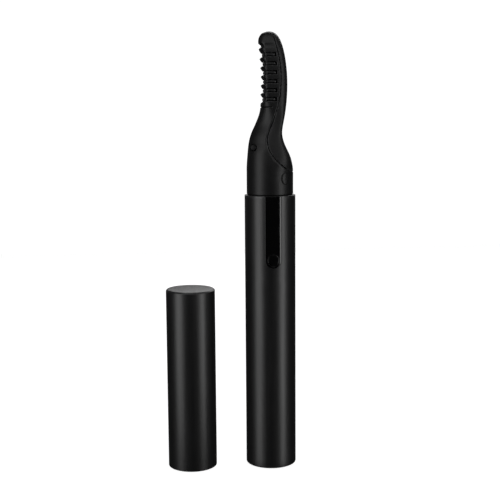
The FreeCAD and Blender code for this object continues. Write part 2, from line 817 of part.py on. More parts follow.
def u_solid(half_width, bend_radius, back, front):
    """Make the U-shaped block of the slot between two distances on the -Y side of the axis."""
    half = size(half_width)
    radius = size(bend_radius)
    centre = size(SLOT_CENTRE)
    top = size("tube_height") + 1
    near = -size(back)
    corners = [Vector(-half, near, centre), Vector(-half, near, top),
               Vector(half, near, top), Vector(half, near, centre)]
    edges = [Part.makeLine(first, last) for first, last in zip(corners, corners[1:])]
    bottom = Vector(0, near, centre - radius)
    edges.append(Part.Arc(corners[-1], bottom, corners[0]).toShape())
    return Part.Face(Part.Wire(edges)).extrude(Vector(0, size(back) - size(front), 0))


# ---------------------------------------------------------------- battery

def make_battery():
    cell = new_body("battery_cell")
    profile = new_sketch(cell, "cell_profile", "XZ_Plane")
    radius = "(battery_diameter / 2)"
    draw_rectangle(profile, "0", radius, "battery_bottom", "battery_top")
    turned = revolve(cell, profile)
    round_edges(
        cell, "Fillet", turned, "battery_edge",
        lambda edge: edge.BoundBox.ZLength < 0.01 and edge.BoundBox.XMax > size(radius) - 0.01,
    )

    legs = (
        ("lower", f"(battery_bottom - tab_thickness)", "battery_bottom",
         f"(battery_bottom - tab_thickness)", f"(battery_bottom + tab_leg)", "-tab_width", "0"),
        ("upper", "battery_top", f"(battery_top + tab_thickness)",
         f"(battery_top - tab_leg)", f"(battery_top + tab_thickness)", "0", "tab_width"),
    )
    tabs = []
    for name, flat_low, flat_high, leg_low, leg_high, side_low, side_high in legs:
        outer = f"(-{TAB_PLANE} - tab_thickness)"
        flat = box(f"{name}_tab_flat", (outer, "tab_reach"), (side_low, side_high), (flat_low, flat_high))
        leg = box(f"{name}_tab_leg", (outer, f"-{TAB_PLANE}"), (side_low, side_high), (leg_low, leg_high))
        tabs.append(fuse(f"{name}_tab", flat, leg))
    keep(group("battery_tabs", tabs), "battery_tabs")

    keep(rod(
        "battery_pad_lower", "(pad_diameter / 2)", BULKHEAD_TOP, f"({BULKHEAD_TOP} + pad_thickness)",
    ), "battery_pad_lower")
    keep(rod(
        "battery_pad_upper", "(pad_diameter / 2)", f"(upper_bulkhead - pad_thickness)", "upper_bulkhead",
    ), "battery_pad_upper")

    low = f"(battery_bottom + tape_margin)"
    high = f"(battery_top - tape_margin)"
    sleeve = cut(
        "tape_sleeve",
        rod("tape_outside", f"({CARRIER_BORE} - touch_gap)", low, high),
        rod("tape_inside", f"({radius} + touch_gap)", f"({low} - 1)", f"({high} + 1)"),
    )
    width = box("tape_area", ("-tape_width / 2", "tape_width / 2"), ("0", "tube_diameter"), (low, high))
    keep(common("battery_tape", sleeve, width), "battery_tape")


# ---------------------------------------------------------------- control board, key and panel

def make_control_board():
    half = "(board_width / 2)"
    keep(box(
        "main_board", (f"-{half}", half), ("-board_face", f"-{BOARD_REAR}"),
        ("board_bottom", "board_top"),
    ), "main_board")
    keep(box(
        "controller_chip", ("-controller_side / 2", "controller_side / 2"),
        (f"-{BOARD_REAR}", f"(-{BOARD_REAR} + controller_thickness)"),
        ("controller_bottom", "(controller_bottom + controller_side)"),
    ), "controller_chip")
    keep(box(
        "power_coil", ("-coil_side / 2", "coil_side / 2"),
        (f"-{BOARD_REAR}", f"(-{BOARD_REAR} + coil_thickness)"),
        ("coil_bottom", "(coil_bottom + coil_side)"),
    ), "power_coil")
    parts = small_parts("board_part", f"-{BOARD_REAR}", 1, "(board_bottom + 1)", 4, 2)
    keep(group("board_parts", parts), "board_parts")


def make_switch():
    housing = box(
        "switch_housing", ("-switch_side / 2", "switch_side / 2"),
        ("(-board_face - switch_thickness)", "-board_face"),
        (f"({SLOT_CENTRE} - switch_side / 2)", f"({SLOT_CENTRE} + switch_side / 2)"),
    )
    bore = peg(
        "plunger_bore", "(plunger_diameter / 2 + running_gap)", "(board_face + switch_thickness + 1)",
        "(board_face + switch_thickness - plunger_bore_depth)", SLOT_CENTRE,
    )
    keep(cut("switch_body", housing, bore), "switch_body")
    keep(peg(
        "switch_plunger", "(plunger_diameter / 2)", KEY_FLANGE_BACK,
        f"({KEY_FLANGE_BACK} - plunger_length)", SLOT_CENTRE,
    ), "switch_plunger")


def make_power_key():
    stem = peg("key_stem", KEY_RADIUS, "tube_diameter", f"({KEY_FLANGE_FRONT} - 0.1)", SLOT_CENTRE)
    face = rod(
        "key_face", f"({PANEL_RADIUS} - key_recess)", f"({SLOT_CENTRE} - key_diameter)",
        f"({SLOT_CENTRE} + key_diameter)",
    )
    flange = peg(
        "key_flange", "(key_flange_diameter / 2)", KEY_FLANGE_FRONT, KEY_FLANGE_BACK, SLOT_CENTRE,
    )
    keep(fuse("power_key", common("key_cap", stem, face), flange), "power_key")


def make_window_panel():
    body = new_body("window_panel")
    outline = new_sketch(body, "panel_outline", "XZ_Plane", PANEL_BACK)
    draw_u_shape(outline, "(slot_width / 2 - panel_gap)", SLOT_CENTRE, PANEL_TOP)
    pad(body, outline, f"({TUBE_RADIUS} + 1 - {PANEL_BACK})")
    skin = new_sketch(body, "panel_skin", "XY_Plane", "(tube_height + 1)")
    draw_circle(skin, "0", "0", PANEL_RADIUS)
    draw_circle(skin, "0", "0", "tube_diameter")
    pocket(body, skin, "tube_height")
    hole = new_sketch(body, "panel_key_hole", "XZ_Plane")
    draw_circle(hole, "0", SLOT_CENTRE, f"({KEY_RADIUS} + running_gap)")
    pocket(body, hole, "tube_diameter", along_normal=True)

    tape = new_body("panel_tape")
    sheet_outline = new_sketch(tape, "tape_outline", "XZ_Plane", "land_front")
    draw_u_shape(
        sheet_outline, "(slot_width / 2 - panel_gap - tape_inset)", SLOT_CENTRE,
        f"({PANEL_TOP} - tape_inset)",
    )
    draw_circle(sheet_outline, "0", SLOT_CENTRE, f"({KEY_RADIUS} + running_gap + 0.1)")
    draw_rectangle(
        sheet_outline, "(-light_width / 2)", "(light_width / 2)", "light_bottom",
        "(light_bottom + light_length)",
    )
    pad(tape, sheet_outline, "tape_thickness")


def make_lights():
    front = "(-land_front)"
    back = "(-board_face - led_thickness - slip_gap)"
    top = "(light_bottom + light_length)"
    block = box("guide_block", ("-light_width / 2", "light_width / 2"), (front, back), ("light_bottom", top))
    flange_front = f"(-{LAND_BACK} + touch_gap)"
    flange = box(
        "guide_flange", ("(-light_width / 2 - light_flange)", "(light_width / 2 + light_flange)"),
        (flange_front, f"({flange_front} + light_flange_thickness)"),
        ("(light_bottom - light_flange)", f"({top} + light_flange)"),
    )
    keep(fuse("light_guide", block, flange), "light_guide")

    leds = []
    for index in range(int(size("led_count"))):
        middle = f"(light_bottom + light_length / 2 + ({index} - (led_count - 1) / 2) * led_pitch)"
        leds.append(box(
            f"led_{index}", ("-led_length / 2", "led_length / 2"),
            ("(-board_face - led_thickness)", "-board_face"),
            (f"({middle} - led_width / 2)", f"({middle} + led_width / 2)"),
        ))
    keep(group("status_lights", leds), "status_lights")


# ---------------------------------------------------------------- head

def oval(height, front, back, side, fullness, inset=0.0):
    """Make a closed smooth curve across the head, drawn in by inset all round."""
    radius = size(SPIGOT_RADIUS)
    left = -radius + front + inset
    right = radius - back - inset
    half_side = radius - side - inset
    centre = (left + right) / 2
    half_width = (right - left) / 2
    power = 2 / fullness
    count = 24
    points = []
    for index in range(count):
        angle = 2 * math.pi * index / count
        along = math.copysign(abs(math.cos(angle)) ** power, math.cos(angle))
        aside = math.copysign(abs(math.sin(angle)) ** power, math.sin(angle))
        points.append(Vector(centre + half_width * along, half_side * aside, height))
    curve = Part.BSplineCurve()
    curve.interpolate(points, PeriodicFlag=True)
    return Part.Wire(curve.toShape())


def head_point(x, z):
    """Return a drawn point of the head's middle plane, stretched to the sizes in use."""
    across = size(SPIGOT_RADIUS) / DRAWN_RADIUS
    return Vector(x * across, 0, z * size("head_height") / DRAWN_HEIGHT)


def head_rows():
    """Return the rows of the head's outline, stretched to the sizes in use."""
    across = size(SPIGOT_RADIUS) / DRAWN_RADIUS
    along = size("head_height") / DRAWN_HEIGHT
    return [
        (height * along, front * across, back * across, side * across, fullness)
        for height, front, back, side, fullness in HEAD_OVALS
    ]


def round_foot(row, depth, inset=0.0):
    """Make the straight round part from the outline's first row down to a depth in the tube."""
    return Part.Face(oval(*row, inset=inset)).extrude(Vector(0, 0, -row[0] - depth))


def head_form():
    """Make the outer form of the whole head as one solid, from the spigot's foot to the tip."""
    rows = head_rows()
    tip = Part.Vertex(head_point(*HEAD_TIP))
    upper = Part.makeLoft([oval(*row) for row in rows] + [tip], True, False)
    return single_solid(upper.fuse(round_foot(rows[0], size("spigot_depth"))), "head_form")


def head_hollows():
    """Make the hollow of the spigot, and that of the neck, which ends under the comb."""
    inset = size("spigot_wall")
    top = size("heater_bottom") + 1
    rows = [row for row in head_rows() if row[0] < top]
    neck = Part.makeLoft([oval(*row, inset=inset) for row in rows], True, False)
    return [neck, round_foot(rows[0], size("spigot_depth") + 1, inset)]


def back_region(shift):
    """Make a block that covers everything behind the parting line, moved back by shift."""
    points = [head_point(x, z) + Vector(shift, 0, 0) for x, z in PARTING_LINE]
    line = Part.BSplineCurve()
    line.interpolate(points)
    far = size("tube_diameter")
    corners = [points[-1], Vector(far, 0, points[-1].z), Vector(far, 0, points[0].z), points[0]]
    sides = [Part.makeLine(first, last) for first, last in zip(corners, corners[1:])]
    face = Part.Face(Part.Wire([line.toShape()] + sides))
    return face.extrude(Vector(0, 2 * far, 0)).translated(Vector(0, -far, 0))


def comb_line(offset, height):
    """Return x on the comb's curve at a height, offset towards +X from the curve of the tips."""
    radius = size("comb_radius") + offset
    centre = -size("tooth_tip") - size("comb_radius")
    rise = height - size("comb_middle")
    return centre + math.sqrt(radius * radius - rise * rise)


def tooth_slot(height):
    """Make the cutter of one slot: parallel sides, with a mouth that rounds the tooth tips."""
    half_slot = size("tooth_slot") / 2
    half_pitch = size("tooth_pitch") / 2
    tip_radius = half_pitch - half_slot
    floor = comb_line(size("tooth_depth"), height)
    mouth = comb_line(0, height)
    knee = mouth + tip_radius
    middle = tip_radius * math.sqrt(0.5)
    outside = mouth - 3
    edges = []
    for side in (-1, 1):
        start = Vector(knee, 0, height + side * half_slot)
        over = Vector(knee - middle, 0, height + side * (half_pitch - middle))
        end = Vector(mouth, 0, height + side * half_pitch)
        edges.append(Part.makeLine(Vector(floor, 0, start.z), start))
        edges.append(Part.Arc(start, over, end).toShape())
        edges.append(Part.makeLine(end, Vector(outside, 0, end.z)))
    low, high = height - half_slot, height + half_slot
    edges.append(Part.makeLine(Vector(floor, 0, low), Vector(floor, 0, high)))
    edges.append(Part.makeLine(
        Vector(outside, 0, height - half_pitch), Vector(outside, 0, height + half_pitch)))
    wire = Part.Wire(Part.__sortEdges__(edges))
    width = size("tube_diameter")
    return Part.Face(wire).extrude(Vector(0, width, 0)).translated(Vector(0, -width / 2, 0))


def heater_channel():
    """Make the hollow that the heater plate slides into."""
    gap = size("slip_gap")
    shift = size("tooth_tip") - size("heater_front")
    bottom = size("heater_bottom") - 1
    top = size("heater_top") + gap
    front = [(shift - gap, height) for height in (bottom, (bottom + top) / 2, top)]
    back = [(shift + size("heater_depth") + gap, height) for height in (top, (bottom + top) / 2, bottom)]
    points = [Vector(comb_line(offset, height), 0, height) for offset, height in front + back]
    edges = [
        Part.Arc(*points[:3]).toShape(),
        Part.makeLine(points[2], points[3]),
        Part.Arc(*points[3:]).toShape(),
        Part.makeLine(points[5], points[0]),
    ]
    width = size("heater_width") + 2 * gap
    return Part.Face(Part.Wire(edges)).extrude(Vector(0, width, 0)).translated(Vector(0, -width / 2, 0))


def retention_bump(angle):
    """Make one raised leaf shape on the spigot that the cap snaps over."""
    length = size("bump_length")
    width = size("bump_width")
    rise = size("bump_rise")
    ball = Part.makeSphere(1.0)
    stretch = FreeCAD.Matrix()
    stretch.scale(rise * 2, width / 2, length / 2)
    leaf = ball.transformGeometry(stretch)
    leaf.translate(Vector(size(SPIGOT_RADIUS) - rise, 0, size("bump_height")))
    leaf.rotate(Vector(), Vector(0, 0, 1), angle)
    return leaf


def lens_direction():
    angle = math.radians(size("lens_angle"))
    return Vector(-math.cos(angle), -math.sin(angle), 0)


def lens_start():
    return Vector(-size("lens_axis"), 0, size("lens_height"))


def make_head(form):
    """Make the comb shell and the back cover from one form, parted along the seam."""
    half_gap = size("seam_gap") / 2
    hollows = head_hollows()

    front = form.cut(back_region(-half_gap))
    bump_angle = size("bump_angle") - 90
    for turn in (0, 180):
        front = front.fuse(retention_bump(bump_angle + turn))
    cutters = hollows + [heater_channel(), panel_notch(), lens_hole()] + screw_holes()
    for cutter in cutters + tooth_slots():
        front = front.cut(cutter)
    shape_piece("comb_shell", single_solid(front, "comb_shell"), "tube_height")

    back = form.common(back_region(half_gap))
    for cutter in hollows:
        back = back.cut(cutter)
    shape_piece("back_cover", single_solid(back, "back_cover"), "tube_height")


def panel_notch():
    """Make the opening in the spigot that the front carrier's land passes through."""
    half = size("land_width") / 2 + size("seat_gap")
    across = size("tube_diameter")
    rise = size("spigot_depth") + 1
    near = size(SPIGOT_BORE) / 2
    return Part.makeBox(2 * half, across, rise, Vector(-half, -across - near, -rise))


def lens_hole():
    across = size("tube_diameter")
    return Part.makeCylinder(size("lens_diameter") / 2, across, lens_start(), lens_direction())


def screw_holes():
    """Make the hole and the seat of the screw in the back of the spigot."""
    height = size("screw_height - tube_height")
    across = size("tube_diameter")
    gap = size("slip_gap")
    seat = size(f"{SPIGOT_RADIUS} - screw_head_thickness - seat_gap")
    backward = Vector(0, 1, 0)
    hole = Part.makeCylinder(size("screw_diameter") / 2 + gap, across, Vector(0, 0, height), backward)
    head = Part.makeCylinder(
        size("screw_head_diameter") / 2 + gap, across, Vector(0, seat, height), backward)
    return [hole, head]


def tooth_slots():
    first = size("first_slot")
    pitch = size("tooth_pitch")
    return [tooth_slot(first + index * pitch) for index in range(int(size("tooth_count")))]


def single_solid(shape, name):
    """Return the one solid that a shape holds."""
    if len(shape.Solids) != 1:
        raise RuntimeError(f"{name}: {len(shape.Solids)} solids in place of one")
    return shape.Solids[0]


# ---------------------------------------------------------------- heater

def make_heater():
    plate = new_body("heater_plate")
    outside = new_sketch(plate, "plate_outline", "XZ_Plane")
    draw_comb_band(outside, "0", "heater_depth", "heater_bottom", "heater_top")
    solid = pad(plate, outside, "heater_width", both_ways=True)

    def is_front_edge(edge):
        middle = edge.valueAt((edge.FirstParameter + edge.LastParameter) / 2)
        long_edge = edge.Length > size("heater_top - heater_bottom") * 0.9
        return long_edge and middle.x < size("heater_depth / 2 - heater_front")

    round_edges(plate, "Fillet", solid, "heater_edge", is_front_edge)
    inside = new_sketch(plate, "plate_hollow", "XZ_Plane")
    draw_comb_band(
        inside, "heater_wall", "heater_depth", "(heater_bottom - 1)", "(heater_top - heater_wall)",
    )
    pocket(plate, inside, "(heater_width - 2 * heater_wall)", both_ways=True)

    low = "(heater_bottom + film_inset)"
    high = "(heater_top - heater_wall - film_inset)"
    width = "(heater_width - 2 * heater_wall - 2 * film_inset)"
    film = new_body("heater_film")
    film_outline = new_sketch(film, "film_outline", "XZ_Plane")
    draw_comb_band(film_outline, "(heater_wall + touch_gap)", "film_thickness", low, high)
    pad(film, film_outline, width, both_ways=True)

    backing = new_body("heater_backing")
    backing_outline = new_sketch(backing, "backing_outline", "XZ_Plane")
    start = "(heater_wall + film_thickness + 2 * touch_gap)"
    draw_comb_band(backing_outline, start, f"(heater_depth - {start})", low, high)
    pad(backing, backing_outline, width, both_ways=True)
    sensor_hole = new_sketch(backing, "sensor_hole", "XZ_Plane")
    draw_circle(sensor_hole, SENSOR_X, "sensor_height", "(sensor_diameter / 2 + touch_gap)")
    pocket(backing, sensor_hole, "(sensor_length + 2 * touch_gap)", both_ways=True)
    sensor_way = new_sketch(backing, "sensor_way", "XZ_Plane")
    lead = "(sensor_lead_diameter / 2 + touch_gap)"
    draw_rectangle(
        sensor_way, f"({SENSOR_X} - {lead})", f"({SENSOR_X} + {lead})",
        "(heater_bottom - 1)", "sensor_height",
    )
    pocket(backing, sensor_way, "sensor_length", both_ways=True)

    sensor = doc.addObject("Part::Cylinder", "heat_sensor")
    bind(sensor, "Radius", "(sensor_diameter / 2)")
    bind(sensor, "Height", "sensor_length")
    sensor.Placement = Placement(Vector(), Rotation(Vector(1, 0, 0), 90))
    move_to(sensor, SENSOR_X, "(sensor_length / 2)", "(sensor_height + tube_height)")
    keep(sensor, "heat_sensor")
    for body in (plate, film, backing):
        move_to(body, z="tube_height")


SENSOR_X = "(-heater_front + heater_wall + film_thickness + sensor_diameter / 2 + 0.1)"


def make_ready_light(form):
    """Make the light pipe whose head is the lens in the neck, and the light under its foot."""
    outward = lens_direction()
    start = lens_start()
    line = Part.makeLine(start, start + outward * size("tube_diameter"))
    surface = form.common(line).Length
    face = start + outward * (surface - size("lens_recess"))
    elbow = start + outward * (surface - size("lens_recess") - size("pipe_reach"))
    foot_y = -size("board_face + pipe_diameter / 2 + 2 * seat_gap")
    foot = Vector(elbow.x, foot_y, size("board_top - tube_height - 1"))
    radius = size("pipe_diameter") / 2
    pipe = sweep_round([face, elbow, foot], radius, size("pipe_bend"))
    head_length = size("spigot_wall")
    lens = Part.makeCylinder(size("lens_diameter") / 2 - size("slip_gap"), head_length, face, -outward)
    shape_piece("ready_light_pipe", pipe.fuse(lens).removeSplitter(), "tube_height")

    light = doc.addObject("Part::Box", "ready_light")
    bind(light, "Length", "ready_light_width")
    bind(light, "Width", "ready_light_depth")
    bind(light, "Height", "ready_light_length")
    light.Placement = Placement(Vector(elbow.x - size("ready_light_width / 2"), 0, 0), Rotation())
    bind(light, "Placement.Base.y", "(-board_face - ready_light_depth)")
    bind(light, "Placement.Base.z", "(board_top - 1 - slip_gap - ready_light_length)")
    keep(light, "ready_light")


# ---------------------------------------------------------------- wires

def sweep_round(points, radius, bend):
    """Sweep a circle along straight runs through the points, joined by tangent arcs."""
    edges = []
    start = points[0]
    for before, corner, after in zip(points, points[1:], points[2:]):
        incoming = (corner - before).normalize()
        outgoing = (after - corner).normalize()
        turn = incoming.getAngle(outgoing)
        setback = bend * math.tan(turn / 2)
        first = corner - incoming * setback
        last = corner + outgoing * setback
        inward = (outgoing - incoming).normalize()
        centre = corner + inward * (bend / math.cos(turn / 2))
        middle = centre - inward * bend
        edges.append(Part.makeLine(start, first))
        edges.append(Part.Arc(first, middle, last).toShape())
        start = last
    edges.append(Part.makeLine(start, points[-1]))
    path = Part.Wire(edges)
    direction = (points[1] - points[0]).normalize()
    profile = Part.Wire(Part.makeCircle(radius, points[0], direction))
    solid = path.makePipeShell([profile], True, False)
    expected = math.pi * radius * radius * path.Length
    if abs(solid.Volume - expected) > 0.02 * expected:
        raise RuntimeError("a swept wire has the wrong volume")
    return solid


def beside_battery(angle, height):
    """Return a point of the passage between the battery and the carriers."""
    passage = size(f"(battery_diameter / 2 + {CARRIER_BORE}) / 2")
    turn = math.radians(angle)
    return Vector(passage * math.cos(turn), passage * math.sin(turn), height)


def make_leads():
    radius = size("lead_diameter / 2")
    board_face = -size(BOARD_REAR) + radius
    board_side = size("board_width / 2")
    board_low = size("board_bottom")
    rim = size("tube_height")
    over_battery = size("upper_bulkhead") + 1

    # From the battery's tabs up to the lower end of the control board.
    lower_tab = size("battery_bottom") + 1.5
    upper_tab = size("battery_top") - 2
    bend = 3.0
    leads = [
        [beside_battery(188, lower_tab), beside_battery(188, over_battery),
         Vector(0.5 - board_side, board_face, board_low + 2.2),
         Vector(0.6 - board_side, board_face, board_low + 5)],
        [beside_battery(172, upper_tab), beside_battery(172, over_battery),
         Vector(1.6 - board_side, board_face, board_low + 2.8),
         Vector(1.7 - board_side, board_face, board_low + 6)],
    ]
    pieces = [sweep_round(points, radius, bend) for points in leads]
    shape_piece("battery_leads", Part.Compound(pieces))

    # From the charging board, past the battery, up to the control board.
    board_rear = size(CHARGE_BOARD_REAR) + radius
    charge_top = size("charge_board_top")
    beside = size("battery_bottom") + 2.5
    leads = []
    charge_pad = size("charge_board_width / 2") - 0.5
    for side, angle, inward, pad_rise in ((1, 12, 0.6, 0.0), (-1, 158, 3.0, 2.6)):
        pad_x = board_side - inward
        leads.append([
            Vector(charge_pad * side, board_rear, charge_top - 2.5),
            Vector(charge_pad * side, board_rear, charge_top + 0.6),
            beside_battery(angle, beside),
            beside_battery(angle, over_battery),
            Vector(pad_x * side, board_face, board_low + 2.2 + pad_rise),
            Vector(pad_x * side, board_face, board_low + 5 + pad_rise),
        ])
    pieces = [sweep_round(points, radius, bend) for points in leads]
    shape_piece("charge_leads", Part.Compound(pieces))

    # From the control board through the neck to the heating film.
    board_pad = size("board_top") - 3.5
    heater_foot = rim + size("heater_bottom + film_inset - slip_gap")
    film_x = comb_line(size("tooth_tip - heater_front + heater_depth / 2"), size("heater_bottom"))
    leads = []
    for side in (-1, 1):
        leads.append([
            Vector(0.2 + 1.2 * side, board_face, board_pad),
            Vector(0.2 + 1.2 * side, board_face, rim + 6),
            Vector(-1.7, 0.9 * side, heater_foot - 8.85),
            Vector(film_x - 0.2, 1.1 * side, heater_foot - 2.35),
            Vector(film_x, 1.1 * side, heater_foot),
        ])
    pieces = [sweep_round(points, radius, bend) for points in leads]
    shape_piece("heater_leads", Part.Compound(pieces))

    # From the control board to the sensor behind the film.
    radius = size("sensor_lead_diameter / 2")
    board_face = -size(BOARD_REAR) + radius
    sensor_x = size(SENSOR_X)
    sensor_foot = rim + size("sensor_height - sensor_diameter / 2 - touch_gap")
    leads = []
    for side in (-1, 1):
        leads.append([
            Vector(-3.0 + 0.5 * side, board_face, board_pad),
            Vector(-3.0 + 0.5 * side, board_face, rim + 6),
            Vector(-3.6, 0.35 * side, sensor_foot - 12.53),
            Vector(sensor_x, 0.45 * side, sensor_foot - 5.13),
            Vector(sensor_x, 0.45 * side, sensor_foot),
        ])
    pieces = [sweep_round(points, radius, 2.0) for points in leads]
    shape_piece("sensor_leads", Part.Compound(pieces))


# ---------------------------------------------------------------- screw and cap

def make_head_screw():
    body = new_body("head_screw")
    profile = new_sketch(body, "screw_profile", "XZ_Plane")
    head = "(screw_head_diameter / 2)"
    shank = "(screw_diameter / 2)"
    draw_outline(profile, [
        ("0", "-screw_length"),
        (shank, "-screw_length"),
        (shank, "0"),
        (head, "0"),
        (head, "screw_head_thickness"),
        ("0", "screw_head_thickness"),
    ])
    revolve(body, profile)
    recess = new_sketch(body, "screw_recess", "XY_Plane", "screw_head_thickness")
    long_half = "(screw_head_diameter / 3)"
    short_half = "(screw_slot / 2)"
    draw_outline(recess, [
        (long_half, f"-{short_half}"), (long_half, short_half), (short_half, short_half),
        (short_half, long_half), (f"-{short_half}", long_half), (f"-{short_half}", short_half),
        (f"-{long_half}", short_half), (f"-{long_half}", f"-{short_half}"),
        (f"-{short_half}", f"-{short_half}"), (f"-{short_half}", f"-{long_half}"),
        (short_half, f"-{long_half}"), (short_half, f"-{short_half}"),
    ])
    pocket(body, recess, "(screw_head_thickness * 2 / 3)")
    body.Placement = Placement(Vector(), Rotation(Vector(1, 0, 0), -90))
    seat = f"({SPIGOT_RADIUS} - screw_head_thickness - seat_gap)"
    move_to(body, y=seat, z="screw_height")


def make_cap():
    shell = new_body("cap_shell")
    wall = new_sketch(shell, "cap_profile", "XZ_Plane")
    outer = "(cap_diameter / 2)"
    draw_outline(wall, [
        (CAP_BORE, "0"),
        (outer, "0"),
        (outer, "cap_height"),
        ("0", "cap_height"),
        ("0", "(cap_height - cap_top)"),
        (CAP_BORE, "(cap_height - cap_top)"),
    ])
    turned = revolve(shell, wall)
    height = size("cap_height")
    top = round_edges(
        shell, "Chamfer", turned, "cap_chamfer",
        lambda edge: edge.BoundBox.ZMin > height - 0.01 and edge.BoundBox.XMax > size(outer) - 0.01,
    )
    round_edges(
        shell, "Fillet", top, "cap_foot_radius",
        lambda edge: edge.BoundBox.ZMax < 0.01 and edge.BoundBox.XMax > size(outer) - 0.01,
    )
    detent = new_sketch(shell, "detent_profile", "XZ_Plane")
    draw_outline(detent, [
        (f"({CAP_BORE} - 1)", "(bump_height - cap_groove_width / 2)"),
        (CAP_BORE, "(bump_height - cap_groove_width / 2)"),
        (f"({CAP_BORE} + cap_groove_depth)", "(bump_height - cap_groove_width / 2 + cap_groove_depth)"),
        (f"({CAP_BORE} + cap_groove_depth)", "(bump_height + cap_groove_width / 2 - cap_groove_depth)"),
        (CAP_BORE, "(bump_height + cap_groove_width / 2)"),
        (f"({CAP_BORE} - 1)", "(bump_height + cap_groove_width / 2)"),
    ])
    groove(shell, detent)
    move_to(shell, x="-cap_distance")

    liner = new_body("cap_liner")
    profile = new_sketch(liner, "liner_profile", "XZ_Plane")
    inside = f"({LINER_RADIUS} - liner_wall)"
    roof = "(cap_height - cap_top - touch_gap)"
    draw_outline(profile, [
        (inside, "liner_start"),
        (LINER_RADIUS, "liner_start"),
        (LINER_RADIUS, roof),
        ("0", roof),
        ("0", f"({roof} - liner_top)"),
        (inside, f"({roof} - liner_top)"),
    ])
    revolve(liner, profile)
    move_to(liner, x="-cap_distance")


# ---------------------------------------------------------------- whole part

def make_part():
    make_outer_tube()
    make_base_plug()
    make_charging_socket()
    make_charge_board()
    make_rear_carrier()
    make_front_carrier()
    make_battery()
    make_control_board()
    make_switch()
    make_power_key()
    make_window_panel()
    make_lights()
    form = head_form()
    make_head(form)
    make_heater()
    make_ready_light(form)
    make_leads()
    make_head_screw()
    make_cap()


def check_objects():
    """Stop if any object failed or any piece has no sound shape."""
    for item in doc.Objects:
        if "Invalid" in item.State or "Error" in item.State:
            raise RuntimeError(f"{item.Label}: {item.State}")
    for node in nodes:
        if node.Shape.isNull() or not node.Shape.isValid():
            raise RuntimeError(f"{node.Label}: its shape is not sound")


def write_pieces():
    os.makedirs("parts", exist_ok=True)
    for node in nodes:
        node.Shape.exportStep(f"parts/{node.Label}.step")
        solids = len(node.Shape.Solids)
        print(f"{node.Label}: {solids} solid(s), {node.Shape.Volume:.2f} mm3")


make_part()
doc.recompute()
check_objects()
write_pieces()
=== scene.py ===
import json
import math

import bmesh
import bpy
import numpy as np
from bpy.props import FloatProperty, FloatVectorProperty, IntProperty, PointerProperty
from mathutils import Euler, Matrix, Quaternion, Vector
from mathutils.kdtree import KDTree


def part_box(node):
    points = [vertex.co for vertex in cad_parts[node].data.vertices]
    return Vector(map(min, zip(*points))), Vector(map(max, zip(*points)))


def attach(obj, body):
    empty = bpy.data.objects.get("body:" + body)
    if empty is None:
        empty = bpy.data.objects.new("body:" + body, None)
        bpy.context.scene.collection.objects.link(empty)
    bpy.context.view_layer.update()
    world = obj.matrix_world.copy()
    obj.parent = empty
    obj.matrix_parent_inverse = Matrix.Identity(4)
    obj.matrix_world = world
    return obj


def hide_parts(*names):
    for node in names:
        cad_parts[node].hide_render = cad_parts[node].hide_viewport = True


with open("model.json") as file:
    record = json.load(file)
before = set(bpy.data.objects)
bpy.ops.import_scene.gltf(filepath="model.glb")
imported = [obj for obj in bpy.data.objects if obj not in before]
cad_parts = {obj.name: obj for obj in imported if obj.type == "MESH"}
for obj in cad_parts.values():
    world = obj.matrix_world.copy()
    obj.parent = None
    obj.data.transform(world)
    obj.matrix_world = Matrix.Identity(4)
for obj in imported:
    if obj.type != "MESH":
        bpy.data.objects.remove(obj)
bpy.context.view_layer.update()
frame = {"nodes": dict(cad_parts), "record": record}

bl_info = {
    "name": "Heated Eyelash Curler",
    "version": (1, 0, 0),
    "blender": (4, 5, 0),
    "location": "View3D > Sidebar > Curler",
    "description": "Builds a pen-shaped heated eyelash curler with its cap standing beside it",
    "category": "Object",
}

MM = 0.001


# ---------------------------------------------------------------- what the frame says

def low(node):
    """Return the low corner of a piece of the frame."""
    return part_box(node)[0]


def high(node):
    """Return the high corner of a piece of the frame."""
    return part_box(node)[1]


TUBE_RADIUS = high("outer_tube").x
RIM = high("outer_tube").z
RIM_MM = RIM / MM
TIP = high("comb_shell").z
SPIGOT_FOOT = low("comb_shell").z
SPIGOT_RADIUS = high("comb_shell").x
PANEL_TOP = high("window_panel").z
PANEL_FOOT = low("window_panel").z
PANEL_HALF = high("window_panel").x
PANEL_FACE = -low("window_panel").y
PANEL_BACK = -high("window_panel").y
PANEL_CENTRE = PANEL_FOOT / MM + PANEL_HALF / MM
CAP_X = (low("cap_shell").x + high("cap_shell").x) / 2
CAP_RADIUS = (high("cap_shell").x - low("cap_shell").x) / 2
CAP_TOP = high("cap_shell").z
CAP_BORE = (high("cap_liner").x - low("cap_liner").x) / 2
KEY_CENTRE = (low("power_key").z + high("power_key").z) / 2
FLANGE = 0.6 * MM
KEY_RADIUS = (high("power_key").z - low("power_key").z) / 2 - FLANGE
KEY_FACE = -low("power_key").y
KEY_BACK = -high("power_key").y


# ---------------------------------------------------------------- the head's outline

